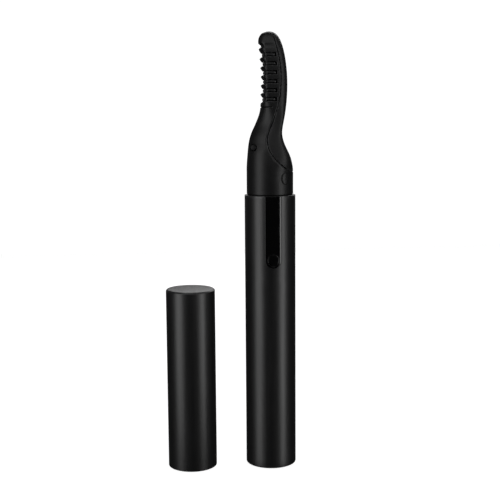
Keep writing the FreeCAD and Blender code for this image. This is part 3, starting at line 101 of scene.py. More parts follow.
# Each row: height above the rim, how far the front, back and sides lie inside the spigot's
# radius, how far the widest place lies behind the middle, and the fullness of the front half
# and of the back half. Millimetres.
HEAD_OVALS = (
    (-6.5, 0.0, 0.0, 0.0, 0.0, 2.0, 2.0),
    (0.0, 0.0, 0.0, 0.0, 0.0, 2.0, 2.0),
    (5.0, 0.0, 0.0, 0.0, 0.0, 2.0, 2.0),
    (7.0, 0.0, 0.0, 0.0, 0.0, 2.0, 2.0),
    (8.4, 0.01, 0.12, 0.05, 0.0, 2.0, 2.2),
    (9.7, 0.07, 0.4, 0.15, 0.1, 2.0, 2.6),
    (12.5, 0.28, 1.37, 0.55, 0.5, 1.95, 3.6),
    (14.3, 0.43, 2.27, 0.85, 0.9, 1.8, 4.2),
    (16.2, 0.67, 3.14, 1.2, 1.5, 1.62, 4.5),
    (19.0, 1.41, 3.77, 1.75, 1.9, 1.55, 4.6),
    (21.0, 2.3, 3.6, 2.1, 2.1, 1.52, 4.4),
    (23.6, 3.46, 3.03, 2.45, 1.8, 1.7, 3.9),
    (26.6, 4.4, 2.42, 2.7, 0.8, 2.4, 3.2),
    (31.0, 4.62, 1.95, 2.8, -0.4, 3.5, 3.0),
    (36.0, 4.77, 1.87, 2.9, -0.5, 3.6, 3.0),
    (41.5, 4.42, 2.35, 3.15, -0.4, 3.5, 2.9),
    (45.5, 4.05, 3.15, 3.6, -0.3, 3.0, 2.7),
    (48.0, 3.95, 4.05, 4.4, -0.1, 2.5, 2.4),
    (49.5, 4.75, 5.1, 5.4, 0.0, 2.2, 2.2),
    (50.15, 5.9, 6.2, 6.4, 0.0, 2.0, 2.0),
    (50.4, 7.15, 7.45, 7.3, 0.0, 2.0, 2.0),
    (50.15, 8.4, 8.7, 8.2, 0.0, 2.0, 2.0),
    (49.5, 9.55, 9.8, 9.2, 0.0, 2.0, 2.0),
)
TIP_ROW = 20

# The parting line seen from the side: distance along +X, height above the rim.
PARTING_LINE = (
    (8.5, 7.0), (5.0, 8.1), (3.2, 9.25), (1.15, 11.0), (-0.4, 13.05), (-1.3, 15.2), (-1.5, 17.0),
    (-1.0, 19.3), (0.3, 22.4), (1.6, 26.2), (2.65, 30.4), (3.0, 34.4), (3.0, 38.3), (2.5, 42.4),
    (1.6, 46.3), (0.95, 49.2), (0.3, 51.5),
)
SPLINE_STEPS = 120

# The comb: heights above the rim and distances along X, in millimetres. A tooth's tip lies above
# its middle, and the top slot is only a dip.
COMB_MIDDLE = 36.0
COMB_RADIUS = 75.0
TOOTH_TIP = -2.53
TIP_LIFT = 0.25
SLOT_DEPTH = 4.55
SLOT_HALF = 0.6
FIRST_SLOT = 29.58
TOOTH_PITCH = 2.71
OPEN_SLOTS = 6
SLOTS = [FIRST_SLOT + number * TOOTH_PITCH for number in range(OPEN_SLOTS)]
DIP = FIRST_SLOT + OPEN_SLOTS * TOOTH_PITCH
COMB_TOP = 46.9

# The thin groove under the comb and the gap over the tube's rim: height, width and depth.
GROOVE = 27.2
GROOVE_WIDE = 0.12
GROOVE_DEEP = 0.26
RIM_GAP = 0.14
RIM_GAP_WIDE = 0.15
RIM_GAP_DEEP = 0.4

# The wall of the neck, the roof inside the tip, the height at which the outline turns over the
# tip, and the smallest angle at which the seam counts as open.
NECK_WALL = 1.1
ROOF = TIP / MM - RIM_MM - 0.75
TIP_START = 49.0
CLOSED = 1e-6

# How much wider than the frame's panel the tube's slot and the gloss panel are on each side.
SLOT_MARGIN = 0.15
PANEL_MARGIN = 0.09


def spline(rows):
    """Return closely spaced points of a smooth curve through the rows."""
    rows = np.array(rows, float)
    steps = np.linalg.norm(np.diff(rows, axis=0), axis=1)
    count = len(rows)
    system = np.eye(count)
    right = np.zeros_like(rows)
    for k in range(1, count - 1):
        system[k, k - 1:k + 2] = steps[k - 1], 2 * (steps[k - 1] + steps[k]), steps[k]
        right[k] = 6 * ((rows[k + 1] - rows[k]) / steps[k] - (rows[k] - rows[k - 1]) / steps[k - 1])
    bend = np.linalg.solve(system, right)
    fine = []
    for k, step in enumerate(steps):
        part = np.linspace(0, 1, SPLINE_STEPS, endpoint=False)[:, None]
        rest = 1 - part
        fine.append(
            rest * rows[k] + part * rows[k + 1]
            + ((rest ** 3 - rest) * bend[k] + (part ** 3 - part) * bend[k + 1]) * step ** 2 / 6
        )
    return np.concatenate(fine + [rows[-1:]])


OUTLINE = spline(HEAD_OVALS)[:TIP_ROW * SPLINE_STEPS + 1]
SEAM = spline(PARTING_LINE)


def row_at(height):
    """Return the outline's row at a height above the rim."""
    return [np.interp(height, OUTLINE[:, 0], OUTLINE[:, k]) for k in range(7)]


def seam_x(height):
    """Return x of the parting line at a height above the rim."""
    return float(np.interp(height, SEAM[:, 1], SEAM[:, 0]))


def comb_x(offset, height):
    """Return x on the comb's curve, offset behind the tooth tips."""
    centre = TOOTH_TIP - COMB_RADIUS
    rise = height - COMB_MIDDLE
    return centre + math.sqrt((COMB_RADIUS + offset) ** 2 - rise * rise)


def slot_floor_x(height):
    """Return x of the slots' floor, which runs straight on past the comb's ends."""
    return comb_x(SLOT_DEPTH, min(max(height, FIRST_SLOT - 0.6), COMB_TOP - 0.6))


class Oval:
    """One horizontal section of the head, in millimetres, optionally drawn in."""

    def __init__(self, row, inset=0.0):
        radius = SPIGOT_RADIUS / MM
        self.height, front, back, side, widest, self.front_full, self.back_full = map(float, row)
        middle = (front - back) / 2
        length = (2 * radius - front - back) / 2
        widest = min(widest, length * 0.55)
        self.centre = middle + widest
        self.front_half = max(length + widest - inset, 0.0)
        self.back_half = max(length - widest - inset, 0.0)
        self.half = (self.front_half + self.back_half) / 2
        self.side = max(radius - side - inset, 0.0)

    def half_at(self, behind):
        """Return the reach and the fullness of the half in front of or behind the centre."""
        return (self.back_half, self.back_full) if behind else (self.front_half, self.front_full)

    def point(self, turn):
        """Return the point at an angle from +X, counted towards +Y."""
        cosine, sine = math.cos(turn), math.sin(turn)
        reach, full = self.half_at(cosine >= 0)
        return Vector((
            self.centre + reach * bowed(cosine, 2 / full), self.side * bowed(sine, 2 / full),
            self.height,
        ))

    def turn_at(self, x):
        """Return the angle at which the section has this x, on the +Y side."""
        reach, full = self.half_at(x >= self.centre)
        part = min(max((x - self.centre) / max(reach, 1e-9), -1.0), 1.0)
        return math.acos(bowed(part, full / 2))

    def speed(self, turn):
        """Return millimetres of outline per radian near an angle."""
        return max((self.point(turn + 0.02) - self.point(turn - 0.02)).length / 0.04, 1e-3)

    def inward(self, turn):
        """Return the horizontal direction that points into the section."""
        along = self.point(turn + 0.004) - self.point(turn - 0.004)
        direction = Vector((-along.y, along.x, 0.0))
        if direction.length < 1e-9:
            return Vector((0.0, 0.0, -1.0))
        return direction.normalized()


# ---------------------------------------------------------------- curves and distances

def bowed(value, power):
    """Return a power of a number that keeps its sign."""
    return math.copysign(abs(value) ** power, value)


def smooth_share(value, start, end):
    """Return 0 before start, 1 after end and a smooth share between them."""
    part = min(max((value - start) / (end - start), 0.0), 1.0)
    return part * part * (3 - 2 * part)


def fall(distance, radius):
    """Return how far an edge rounded to a radius lies under its face, at a distance from it."""
    if distance >= radius:
        return 0.0
    rest = radius - max(distance, 0.0)
    return radius - math.sqrt(max(radius * radius - rest * rest, 0.0))


def slope(distance, width, degrees):
    """Return how far a soft chamfer lies under its face, at a distance from the edge."""
    if distance >= width:
        return 0.0
    rest = width - max(distance, 0.0)
    soft = width * 0.35
    rise = math.tan(math.radians(degrees))
    return rise * (rest * rest / (2 * soft) if rest < soft else rest - soft / 2)


def fade_from_edge(distance, width):
    """Return a share that falls evenly from 1 at an edge to 0 at a distance."""
    return max(0.0, 1 - distance / width)


def nearest(points):
    """Return a function that measures the distance to the nearest of the points."""
    tree = KDTree(len(points))
    for number, point in enumerate(points):
        tree.insert(point, number)
    tree.balance()
    return lambda place: tree.find(place)[2]


def spread(start, end, count):
    """Return evenly spaced numbers, both ends included."""
    return list(np.linspace(start, end, count))


def both_sides(half, whole):
    """Return the angles of one side, and those of the other side counted back from the whole."""
    return half + [whole - value for value in reversed(half[:-1])]


# ---------------------------------------------------------------- mesh helpers

def mesh_of(name, bm):
    """Return a mesh made from a bmesh, which is freed."""
    mesh = bpy.data.meshes.new(name)
    bm.to_mesh(mesh)
    bm.free()
    return mesh


def linked(name, data):
    """Return a new object in the scene."""
    item = bpy.data.objects.new(name, data)
    bpy.context.scene.collection.objects.link(item)
    return item


def moved(bm, turned=None, place=(0, 0, 0)):
    """Turn a bmesh and then shift it."""
    if turned is not None:
        bmesh.ops.rotate(bm, verts=bm.verts[:], matrix=turned)
    bmesh.ops.translate(bm, verts=bm.verts[:], vec=place)
    return bm


def quarter_turn(axis):
    """Return a turn of 90 degrees round an axis."""
    return Matrix.Rotation(math.radians(90), 3, axis)


def cut(mesh, cutter_bm):
    """Return the mesh with the cutter's shape taken out."""
    target = linked("cut_target", mesh)
    cutter = linked("cut_cutter", mesh_of("cut_cutter", cutter_bm))
    modifier = target.modifiers.new("cut", "BOOLEAN")
    modifier.operation = "DIFFERENCE"
    modifier.solver = "EXACT"
    modifier.object = cutter
    bpy.context.view_layer.update()
    evaluated = target.evaluated_get(bpy.context.evaluated_depsgraph_get())
    result = bpy.data.meshes.new_from_object(evaluated)
    for item in (target, cutter):
        used = item.data
        bpy.data.objects.remove(item)
        bpy.data.meshes.remove(used)
    return result


def finish_piece(name, bm, slot, body, replaced=(), sharp=40.0, cutters=()):
    """Make the object of a piece, cut it, seat it on its body and give it its finish."""
    mesh = mesh_of(name, bm)
    for cutter in cutters:
        mesh = cut(mesh, cutter)
    mesh.name = name
    mesh.polygons.foreach_set("use_smooth", [True] * len(mesh.polygons))
    mesh.set_sharp_from_angle(angle=math.radians(sharp))
    mesh.materials.append(finish_of(slot))
    piece = linked(name, mesh)
    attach(piece, body)
    if replaced:
        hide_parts(*replaced)


def cleaned(bm):
    """Merge doubled corners, drop faces without area and point all faces outwards."""
    bmesh.ops.remove_doubles(bm, verts=bm.verts[:], dist=1e-7)
    bmesh.ops.dissolve_degenerate(bm, edges=bm.edges[:], dist=1e-8)
    stray = [edge for edge in bm.edges if not edge.link_faces]
    bmesh.ops.delete(bm, geom=stray, context="EDGES")
    bmesh.ops.recalc_face_normals(bm, faces=bm.faces[:])
    return bm


def bent_wall(columns, rows, place, left_out=None, wraps=True):
    """Make a closed wall. A flat grid loses the cells that are left out, is thickened, and each
    corner is then put in place by its column, row and layer (0 is outside, 1 is inside)."""
    def cell(face):
        middle = face.calc_center_median()
        return int((middle.x + 0.5) * columns), int((middle.y + 0.5) * rows)

    bm = bmesh.new()
    bmesh.ops.create_grid(bm, x_segments=columns, y_segments=rows, size=0.5)
    if left_out:
        gone = [face for face in bm.faces if left_out(*cell(face))]
        bmesh.ops.delete(bm, geom=gone, context="FACES")
    made = bmesh.ops.extrude_face_region(bm, geom=bm.faces[:])
    inner = [item for item in made["geom"] if isinstance(item, bmesh.types.BMVert)]
    bmesh.ops.translate(bm, verts=inner, vec=(0, 0, 1))
    if wraps:
        ends = [face for face in bm.faces if min(abs(v.co.x) for v in face.verts) > 0.499999]
        bmesh.ops.delete(bm, geom=ends, context="FACES")
    wear_and_highlight = bm.verts.layers.float.new("edge_wear")
    for vert in bm.verts:
        column = round((vert.co.x + 0.5) * columns)
        row = round((vert.co.y + 0.5) * rows)
        point, worn_and_highlight = place(column, row, round(vert.co.z))
        vert.co = Vector(point) * MM
        vert[wear_and_highlight] = worn_and_highlight
    return cleaned(bm)


def turned_profile(profile, steps):
    """Turn a closed profile of (radius, height) once round Z."""
    bm = bmesh.new()
    verts = [bm.verts.new((radius, 0.0, height)) for radius, height in profile]
    for first, last in zip(verts, verts[1:]):
        bm.edges.new((first, last))
    if profile[0][0] > 0:
        bm.edges.new((verts[-1], verts[0]))
    bmesh.ops.spin(
        bm, geom=bm.verts[:] + bm.edges[:], cent=(0, 0, 0), axis=(0, 0, 1),
        angle=2 * math.pi, steps=steps, use_merge=True,
    )
    return cleaned(bm)


def rounded(corners, segments=5):
    """Return a closed profile of (across, height, radius) corners, rounded by their radii."""
    result = []
    places = [Vector(corner[:2]) for corner in corners]
    for k, corner in enumerate(places):
        radius = corners[k][2]
        if radius <= 0:
            result.append(tuple(corner))
            continue
        before = (places[k - 1] - corner).normalized()
        after = (places[(k + 1) % len(places)] - corner).normalized()
        half = before.angle(after) / 2
        setback = radius / math.tan(half)
        centre = corner + (before + after).normalized() * (radius / math.sin(half))
        start = corner + before * setback - centre
        end = corner + after * setback - centre
        sweep = start.angle_signed(end)
        for step in range(segments + 1):
            turned = start.copy()
            turned.rotate(Matrix.Rotation(-sweep * step / segments, 2))
            result.append(tuple(centre + turned))
    return result


def hole_cutter(radius, flare, depth):
    """Make a round cutter that widens in a curve where it leaves the surface, at height 0."""
    profile = [(0.0, -depth), (radius, -depth)]
    for step in range(9):
        turn = math.pi / 2 * step / 8
        across = radius + flare * (1 - math.cos(turn))
        profile.append((across, -flare * 1.2 * (1 - math.sin(turn))))
    profile += [(radius + flare * 3, depth), (0.0, depth)]
    return turned_profile(profile, 64)


# ---------------------------------------------------------------- settings

def number(name, description, default, **kind):
    """Return the property of a number, with its unit or its limits."""
    return FloatProperty(name=name, description=description, default=default, **kind)


def length(name, description, default):
    return number(name, description, default, unit="LENGTH")


def angle(name, description, degrees):
    return number(name, description, math.radians(degrees), subtype="ANGLE")


def watts(name, description, default):
    return number(name, description, default, unit="POWER")


def share(name, description, default):
    return number(name, description, default, min=0, max=1)


def colour(name, description, default):
    return FloatVectorProperty(
        name=name, description=description, default=default, subtype="COLOR", size=3, min=0, max=1,
    )


class CurlerShape(bpy.types.PropertyGroup):
    """Sizes of the pieces that a user may change."""

    seam_round: length("Seam bevel", "Width of the bevel along the head's seam", 0.42 * MM)
    seam_gap: length("Seam gap", "Width of the gap between the two halves of the head", 0.3 * MM)
    tooth_edge: length("Tooth edge", "Radius of the teeth's edges at their sides", 0.2 * MM)
    tooth_tip: length("Tooth tip", "Width of the slopes that bring a tooth to its tip", 0.8 * MM)
    shell_wall: length("Shell wall", "Wall of the head's shells in the comb", 0.92 * MM)
    rim_round: length("Rim round", "Radius of the tube's rim", 0.12 * MM)
    foot_round: length("Foot round", "Radius of the tube's foot", 0.4 * MM)
    slot_round: length("Slot round", "Radius of the edges of the tube's slot", 0.04 * MM)
    panel_round: length("Panel round", "Radius of the gloss panel's edges", 0.05 * MM)
    bump_rise: length("Bump rise", "How far the snap bumps stand out of the spigot", 0.22 * MM)
    cap_chamfer: length("Cap chamfer", "Chamfer round the cap's closed end", 0.45 * MM)
    turned_steps: IntProperty(
        name="Turned steps", description="Segments of a turned piece", default=160, min=32,
    )


class CurlerFinish(bpy.types.PropertyGroup):
    """Colours and roughness of the visible finishes."""

    tube: colour("Tube", "Anodised tube and cap", (0.0026, 0.0026, 0.0028))
    head: colour("Head", "Moulded head", (0.0024, 0.0024, 0.0026))
    panel: colour("Panel", "Gloss panel", (0.0006, 0.0006, 0.0007))
    # Besides rubbed edges, this paler colour paints a highlight line on the cap's chamfer and
    # painted light on the heating bar's ribs.
    worn_and_highlight: colour("Worn edge", "Colour of rubbed edges", (0.055, 0.055, 0.058))
    tube_roughness: share("Tube roughness", "Roughness of the anodised finish", 0.37)
    head_roughness: share("Head roughness", "Roughness of the moulded head", 0.42)
    panel_roughness: share("Panel roughness", "Roughness of the gloss panel", 0.07)


class CurlerStage(bpy.types.PropertyGroup):
    """Camera, lamps and floor."""

    camera_distance: length("Camera distance", "Level distance from the pen's axis", 0.311)
    camera_height: length("Camera height", "Height above the floor", 0.1107)
    camera_azimuth: angle("Camera azimuth", "Turn round the pen", -7.5)
    camera_pitch: angle("Camera pitch", "Downward tilt", 7.6)
    camera_pan: angle("Camera pan", "Turn to the left of the pen", 1.18)
    camera_roll: angle("Camera roll", "Tilt to one side", -0.41)
    focal: number("Focal length", "Lens in millimetres", 71.2)
    left_power: watts("Left lamp", "Watts of the left strip", 1.36)
    right_power: watts("Right lamp", "Watts of the right strip", 1.23)
    top_power: watts("Top lamp", "Watts of the overhead lamp", 1.75)
    fill_power: watts("Fill lamp", "Watts of the soft lamp above", 1.45)
    floor: colour("Floor", "Floor and backdrop", (0.3, 0.3, 0.3))


def shape():
    """Return the sizes that are set in the scene."""
    return bpy.context.scene.curler_shape


# ---------------------------------------------------------------- finishes

# No stretch, and the usual width of a mould's texture in millimetres.
EVEN = (1.0, 1.0, 1.0)
MOULD_GRAIN = 0.16


class Recipe:
    """Builds one material's nodes."""

    def __init__(self, name):
        self.material = bpy.data.materials.new(name)
        self.material.use_nodes = True
        self.tree = self.material.node_tree
        self.shader = self.tree.nodes["Principled BSDF"]
        self.place = self.add("ShaderNodeTexCoord").outputs["Object"]

    def add(self, kind, inputs=None, **settings):
        """Add a node with its settings, and feed its inputs."""
        node = self.tree.nodes.new(kind)
        for name, value in settings.items():
            setattr(node, name, value)
        for socket, value in (inputs or {}).items():
            self.feed(node.inputs[socket], value)
        return node

    def feed(self, socket, value):
        """Link a socket to another one, or give it a value."""
        if isinstance(value, bpy.types.NodeSocket):
            self.tree.links.new(value, socket)
        else:
            socket.default_value = value

    def mapped(self, **settings):
        """Return the object's own coordinates, stretched or turned."""
        return self.add("ShaderNodeMapping", {"Vector": self.place, **settings}).outputs["Vector"]

    def noise(self, size_mm, detail=2.0, stretch=EVEN):
        """Return soft noise whose patches are about so many millimetres wide."""
        inputs = {"Vector": self.mapped(Scale=stretch), "Scale": 1 / (size_mm * MM)}
        return self.add("ShaderNodeTexNoise", {**inputs, "Detail": detail}).outputs["Fac"]

    def cells(self, size_mm, feature="F1"):
        """Return the distance from the middles of cells so many millimetres wide."""
        inputs = {"Vector": self.mapped(), "Scale": 1 / (size_mm * MM)}
        return self.add("ShaderNodeTexVoronoi", inputs, feature=feature).outputs["Distance"]

    def ranged(self, value, low_in, high_in, low_out, high_out):
        """Bring a value from one range to another."""
        inputs = {"Value": value, 1: low_in, 2: high_in, 3: low_out, 4: high_out}
        return self.add("ShaderNodeMapRange", inputs).outputs["Result"]

    def mixed(self, factor, first, second):
        """Mix two colours."""
        inputs = {"Factor": factor}
        for socket, value in ((6, first), (7, second)):
            inputs[socket] = value if isinstance(value, bpy.types.NodeSocket) else (*value, 1.0)
        return self.add("ShaderNodeMix", inputs, data_type="RGBA").outputs[2]

    def combined(self, first, second, operation="MULTIPLY"):
        """Multiply or add two numbers."""
        return self.add("ShaderNodeMath", {0: first, 1: second}, operation=operation).outputs[0]

    def bump(self, height, depth_mm, strength, under=None):
        """Return the normal of a relief, over another relief if one is given."""
        inputs = {"Height": height, "Distance": depth_mm * MM, "Strength": strength}
        if under is not None:
            inputs["Normal"] = under
        return self.add("ShaderNodeBump", inputs).outputs["Normal"]

    def rubbed_and_highlighted(self, base, worn_and_highlight, size_mm, patches):
        """Return the colour with its edges rubbed in patches; the same attribute also carries
        painted highlights.
        """
        edge = self.add("ShaderNodeAttribute", attribute_name="edge_wear").outputs["Fac"]
        patchy = self.ranged(self.noise(size_mm, detail=4.0), *patches)
        return self.mixed(self.combined(edge, patchy), base, worn_and_highlight)

    def finished(self, **values):
        """Feed the shader's inputs and return the material."""
        for name, value in values.items():
            name = name.replace("_", " ").title().replace("Ior", "IOR")
            self.feed(self.shader.inputs[name], value)
        return self.material


def shade(tint, factor, added=0.0):
    """Return a darker or paler colour."""
    return tuple(value * factor + added for value in tint)


def anodised(name, tint, roughness, worn_and_highlight):
    """Bead-blasted and anodised metal: fine even grain, faint drawing lines, rubbed edges, and a
    painted highlight where the cap's chamfer carries one.
    """
    recipe = Recipe(name)
    grain = recipe.noise(0.07, detail=3.0)
    drawn = recipe.noise(0.5, stretch=(1.0, 1.0, 0.02))
    cloud = recipe.ranged(recipe.noise(9.0, detail=3.0), 0.3, 0.7, 0.0, 1.0)
    base = recipe.mixed(cloud, tint, shade(tint, 1.35, 0.0008))
    base = recipe.rubbed_and_highlighted(base, worn_and_highlight, 0.8, (0.42, 0.66, 0.1, 1.0))
    matte = recipe.ranged(grain, 0.25, 0.75, roughness - 0.05, roughness + 0.05)
    lines = recipe.ranged(drawn, 0.35, 0.65, -0.025, 0.025)
    rough = recipe.combined(matte, lines, "ADD")
    normal = recipe.bump(drawn, 0.004, 0.25, recipe.bump(grain, 0.0035, 0.5))
    return recipe.finished(base_color=base, roughness=rough, normal=normal)


def moulded(name, tint, roughness, worn_and_highlight=None, specular=0.5, grain_mm=MOULD_GRAIN):
    """Moulded plastic with the fine spark texture of its mould."""
    recipe = Recipe(name)
    pits = recipe.cells(grain_mm, "SMOOTH_F1")
    fine = recipe.noise(grain_mm * 0.45, detail=3.0)
    cloud = recipe.ranged(recipe.noise(6.0, detail=3.0), 0.3, 0.7, 0.0, 1.0)
    base = recipe.mixed(cloud, tint, shade(tint, 1.3, 0.001))
    if worn_and_highlight is not None:
        base = recipe.rubbed_and_highlighted(base, worn_and_highlight, 0.7, (0.4, 0.7, 0.0, 0.8))
    rough = recipe.ranged(fine, 0.25, 0.75, roughness - 0.06, roughness + 0.06)
    normal = recipe.bump(fine, 0.0036, 0.5, recipe.bump(pits, 0.006, 0.5))
    return recipe.finished(
        base_color=base, roughness=rough, normal=normal, specular_ior_level=specular,
    )


def gloss(name, tint, roughness):
    """Polished plastic: a faint ripple, and dulled patches where fingers have been."""
    recipe = Recipe(name)
    ripple = recipe.noise(1.8, detail=1.0)
    touch = recipe.noise(3.5, detail=5.0, stretch=(1.0, 1.0, 0.6))
    dust = recipe.ranged(recipe.cells(0.5), 0.0, 0.03, 0.25, 0.0)
    base = recipe.mixed(dust, tint, (0.05, 0.05, 0.05))
    rough = recipe.ranged(touch, 0.45, 0.75, roughness, roughness + 0.1)
    normal = recipe.bump(ripple, 0.004, 0.35)
    return recipe.finished(base_color=base, roughness=rough, normal=normal)


def bare_metal(name, tint, roughness):
    """Drawn or stamped metal with fine lines and a slightly uneven tarnish."""
    recipe = Recipe(name)
    lines = recipe.noise(0.08, detail=3.0, stretch=(1.0, 1.0, 0.04))
    tarnish = recipe.ranged(recipe.noise(1.6, detail=4.0), 0.35, 0.7, 0.0, 0.7)
    base = recipe.mixed(tarnish, tint, shade(tint, 0.72))
    rough = recipe.ranged(lines, 0.3, 0.7, roughness - 0.07, roughness + 0.1)
    normal = recipe.bump(lines, 0.003, 0.4)
    return recipe.finished(base_color=base, roughness=rough, normal=normal, metallic=1.0)


def circuit_board(name, tint):
    """Solder mask over copper tracks, with a pad here and there."""
    recipe = Recipe(name)
    flat = recipe.mapped(Rotation=(math.radians(90), 0.0, 0.0))
    inputs = {"Vector": flat, "Scale": 900.0, "Mortar Size": 0.09, "Brick Width": 1.7}
    tracks = recipe.add(
        "ShaderNodeTexBrick", inputs, offset=0.35, squash=0.6, squash_frequency=3,
    ).outputs["Fac"]
    pads = recipe.ranged(recipe.cells(1.1), 0.16, 0.2, 1.0, 0.0)
    base = recipe.mixed(tracks, tint, shade(tint, 1.9, 0.01))
    base = recipe.mixed(pads, base, (0.62, 0.55, 0.38))
    rough = recipe.ranged(recipe.noise(0.25), 0.3, 0.7, 0.28, 0.42)
    return recipe.finished(
        base_color=base, roughness=rough, normal=recipe.bump(tracks, 0.02, 0.5),
    )


def foam(name, tint):
    """Soft foam or fleece tape with open pores, whose insides are darkened as painted shade."""
    recipe = Recipe(name)
    pores = recipe.cells(0.22)
    cloud = recipe.noise(1.4, detail=3.0)
    # The pores are darkened: painted shade in the hollows.
    base = recipe.mixed(recipe.ranged(pores, 0.1, 0.5, 0.8, 0.0), tint, shade(tint, 0.45))
    rough = recipe.ranged(cloud, 0.3, 0.7, 0.85, 0.98)
    normal = recipe.bump(pores, 0.05, 0.8)
    return recipe.finished(base_color=base, roughness=rough, normal=normal, specular_ior_level=0.2)


def clear(name, tint, roughness, transmission):
    """Clear or smoked moulded plastic."""
    recipe = Recipe(name)
    haze = recipe.noise(0.9, detail=3.0)
    flow = recipe.noise(2.4, detail=1.0, stretch=(1.0, 1.0, 0.3))
    base = recipe.mixed(recipe.ranged(flow, 0.3, 0.7, 0.0, 1.0), tint, shade(tint, 0.85))
    rough = recipe.ranged(haze, 0.3, 0.7, roughness, roughness + 0.08)
    normal = recipe.bump(flow, 0.01, 0.2)
    return recipe.finished(
        base_color=base, roughness=rough, normal=normal, transmission_weight=transmission, ior=1.49,
    )


def film(name, tint, roughness, wrinkle_mm):
    """Thin film or sleeve with soft wrinkles."""
    recipe = Recipe(name)
    wrinkles = recipe.noise(wrinkle_mm, detail=3.0, stretch=(1.0, 1.0, 0.35))
    patches = recipe.ranged(recipe.noise(wrinkle_mm * 4), 0.35, 0.65, 0.0, 0.6)
    base = recipe.mixed(patches, tint, shade(tint, 0.7))
    rough = recipe.ranged(wrinkles, 0.3, 0.7, roughness - 0.06, roughness + 0.1)
    normal = recipe.bump(wrinkles, 0.03, 0.5)
    return recipe.finished(base_color=base, roughness=rough, normal=normal)


def finish_of(slot):
    """Return the material of a slot of the record, made once."""
    name = "curler_" + slot
    if name in bpy.data.materials:
        return bpy.data.materials[name]
    kept = bpy.context.scene.curler_finish
    tube, head, panel, worn_and_highlight = map(tuple, (kept.tube, kept.head, kept.panel, kept.worn_and_highlight))
    maker, *settings = {
        "tube": (anodised, tube, kept.tube_roughness, worn_and_highlight),
        "cap": (anodised, tube, kept.tube_roughness, worn_and_highlight),
        "liner": (moulded, (0.03, 0.03, 0.03), 0.55),
        "plug": (moulded, (0.014, 0.014, 0.015), 0.5),
        "socket_steel": (bare_metal, (0.6, 0.6, 0.61), 0.28),
        "socket_plastic": (moulded, (0.015, 0.015, 0.015), 0.45),
        "contact_gold": (bare_metal, (0.86, 0.63, 0.25), 0.25),
        "circuit_board": (circuit_board, (0.015, 0.14, 0.055)),
        "chip": (moulded, (0.018, 0.018, 0.019), 0.6),
        "solder_parts": (film, (0.42, 0.33, 0.22), 0.35, 0.3),
        "carrier": (moulded, (0.72, 0.72, 0.7), 0.5),
        "battery_wrap": (film, (0.08, 0.22, 0.5), 0.3, 0.9),
        "nickel": (bare_metal, (0.7, 0.68, 0.63), 0.3),
        "foam": (foam, (0.06, 0.06, 0.065)),
        "coil": (bare_metal, (0.1, 0.095, 0.09), 0.5),
        "switch_plastic": (moulded, (0.03, 0.03, 0.032), 0.4),
        "plunger": (moulded, (0.6, 0.58, 0.52), 0.4),
        "key": (gloss, panel, kept.panel_roughness + 0.04),
        "panel": (gloss, panel, kept.panel_roughness),
        "adhesive": (film, (0.7, 0.66, 0.55), 0.5, 0.5),
        "clear_plastic": (clear, (0.9, 0.92, 0.93), 0.08, 0.9),
        "light": (film, (0.86, 0.78, 0.35), 0.35, 0.4),
        "head": (moulded, head, kept.head_roughness, worn_and_highlight, 0.28),
        "head_cover": (moulded, head, kept.head_roughness + 0.07, worn_and_highlight, 0.28),
        "heater": (moulded, head, kept.head_roughness, worn_and_highlight, 0.3, 0.1),
        "film": (film, (0.55, 0.25, 0.05), 0.3, 0.6),
        "silicone": (moulded, (0.02, 0.02, 0.021), 0.5),
        "sensor": (gloss, (0.02, 0.02, 0.02), 0.15),
        "smoked_lens": (clear, (0.01, 0.01, 0.011), 0.5, 0.2),
        "lead_red": (gloss, (0.4, 0.02, 0.015), 0.35),
        "lead_white": (gloss, (0.7, 0.7, 0.68), 0.35),
        "lead_black": (gloss, (0.02, 0.02, 0.02), 0.35),
        "lead_yellow": (gloss, (0.7, 0.5, 0.04), 0.35),
        "screw": (bare_metal, (0.12, 0.12, 0.125), 0.35),
    }[slot]
    return maker(name, *settings)


# ---------------------------------------------------------------- operators

class CurlerOperator(bpy.types.Operator):
    """Shared part of the operators that make pieces."""

    bl_options = {"REGISTER", "UNDO"}


class CURLER_OT_finishes(CurlerOperator):
    """Give every piece of the frame its finish"""

    bl_idname = "curler.finishes"
    bl_label = "Frame finishes"

    def execute(self, context):
        for row in frame["record"]["subparts"]:
            mesh = frame["nodes"][row["node"]]
            if not mesh.material_slots:
                raise RuntimeError(f"{row['node']} has no material slot")
            for slot in mesh.material_slots:
                slot.material = finish_of(row["material_slot"])
        return {"FINISHED"}


# The tube's wall has columns inside the slot, columns close beside its edge at these distances
# in millimetres, and columns round the rest.
SLOT_COLUMNS = 9
BESIDE_SLOT = [0.0, 0.02, 0.05, 0.09, 0.15, 0.26]
REST_COLUMNS = 60


def u_outline(half, top, turns, step):
    """Return closely spaced points on one side of the U of the slot or the panel."""
    outline = [
        (half * math.sin(turn), PANEL_CENTRE - half * math.cos(turn))
        for turn in spread(0, math.pi / 2, turns)
    ]
    return outline + [(half, height) for height in np.arange(PANEL_CENTRE, top, step)]


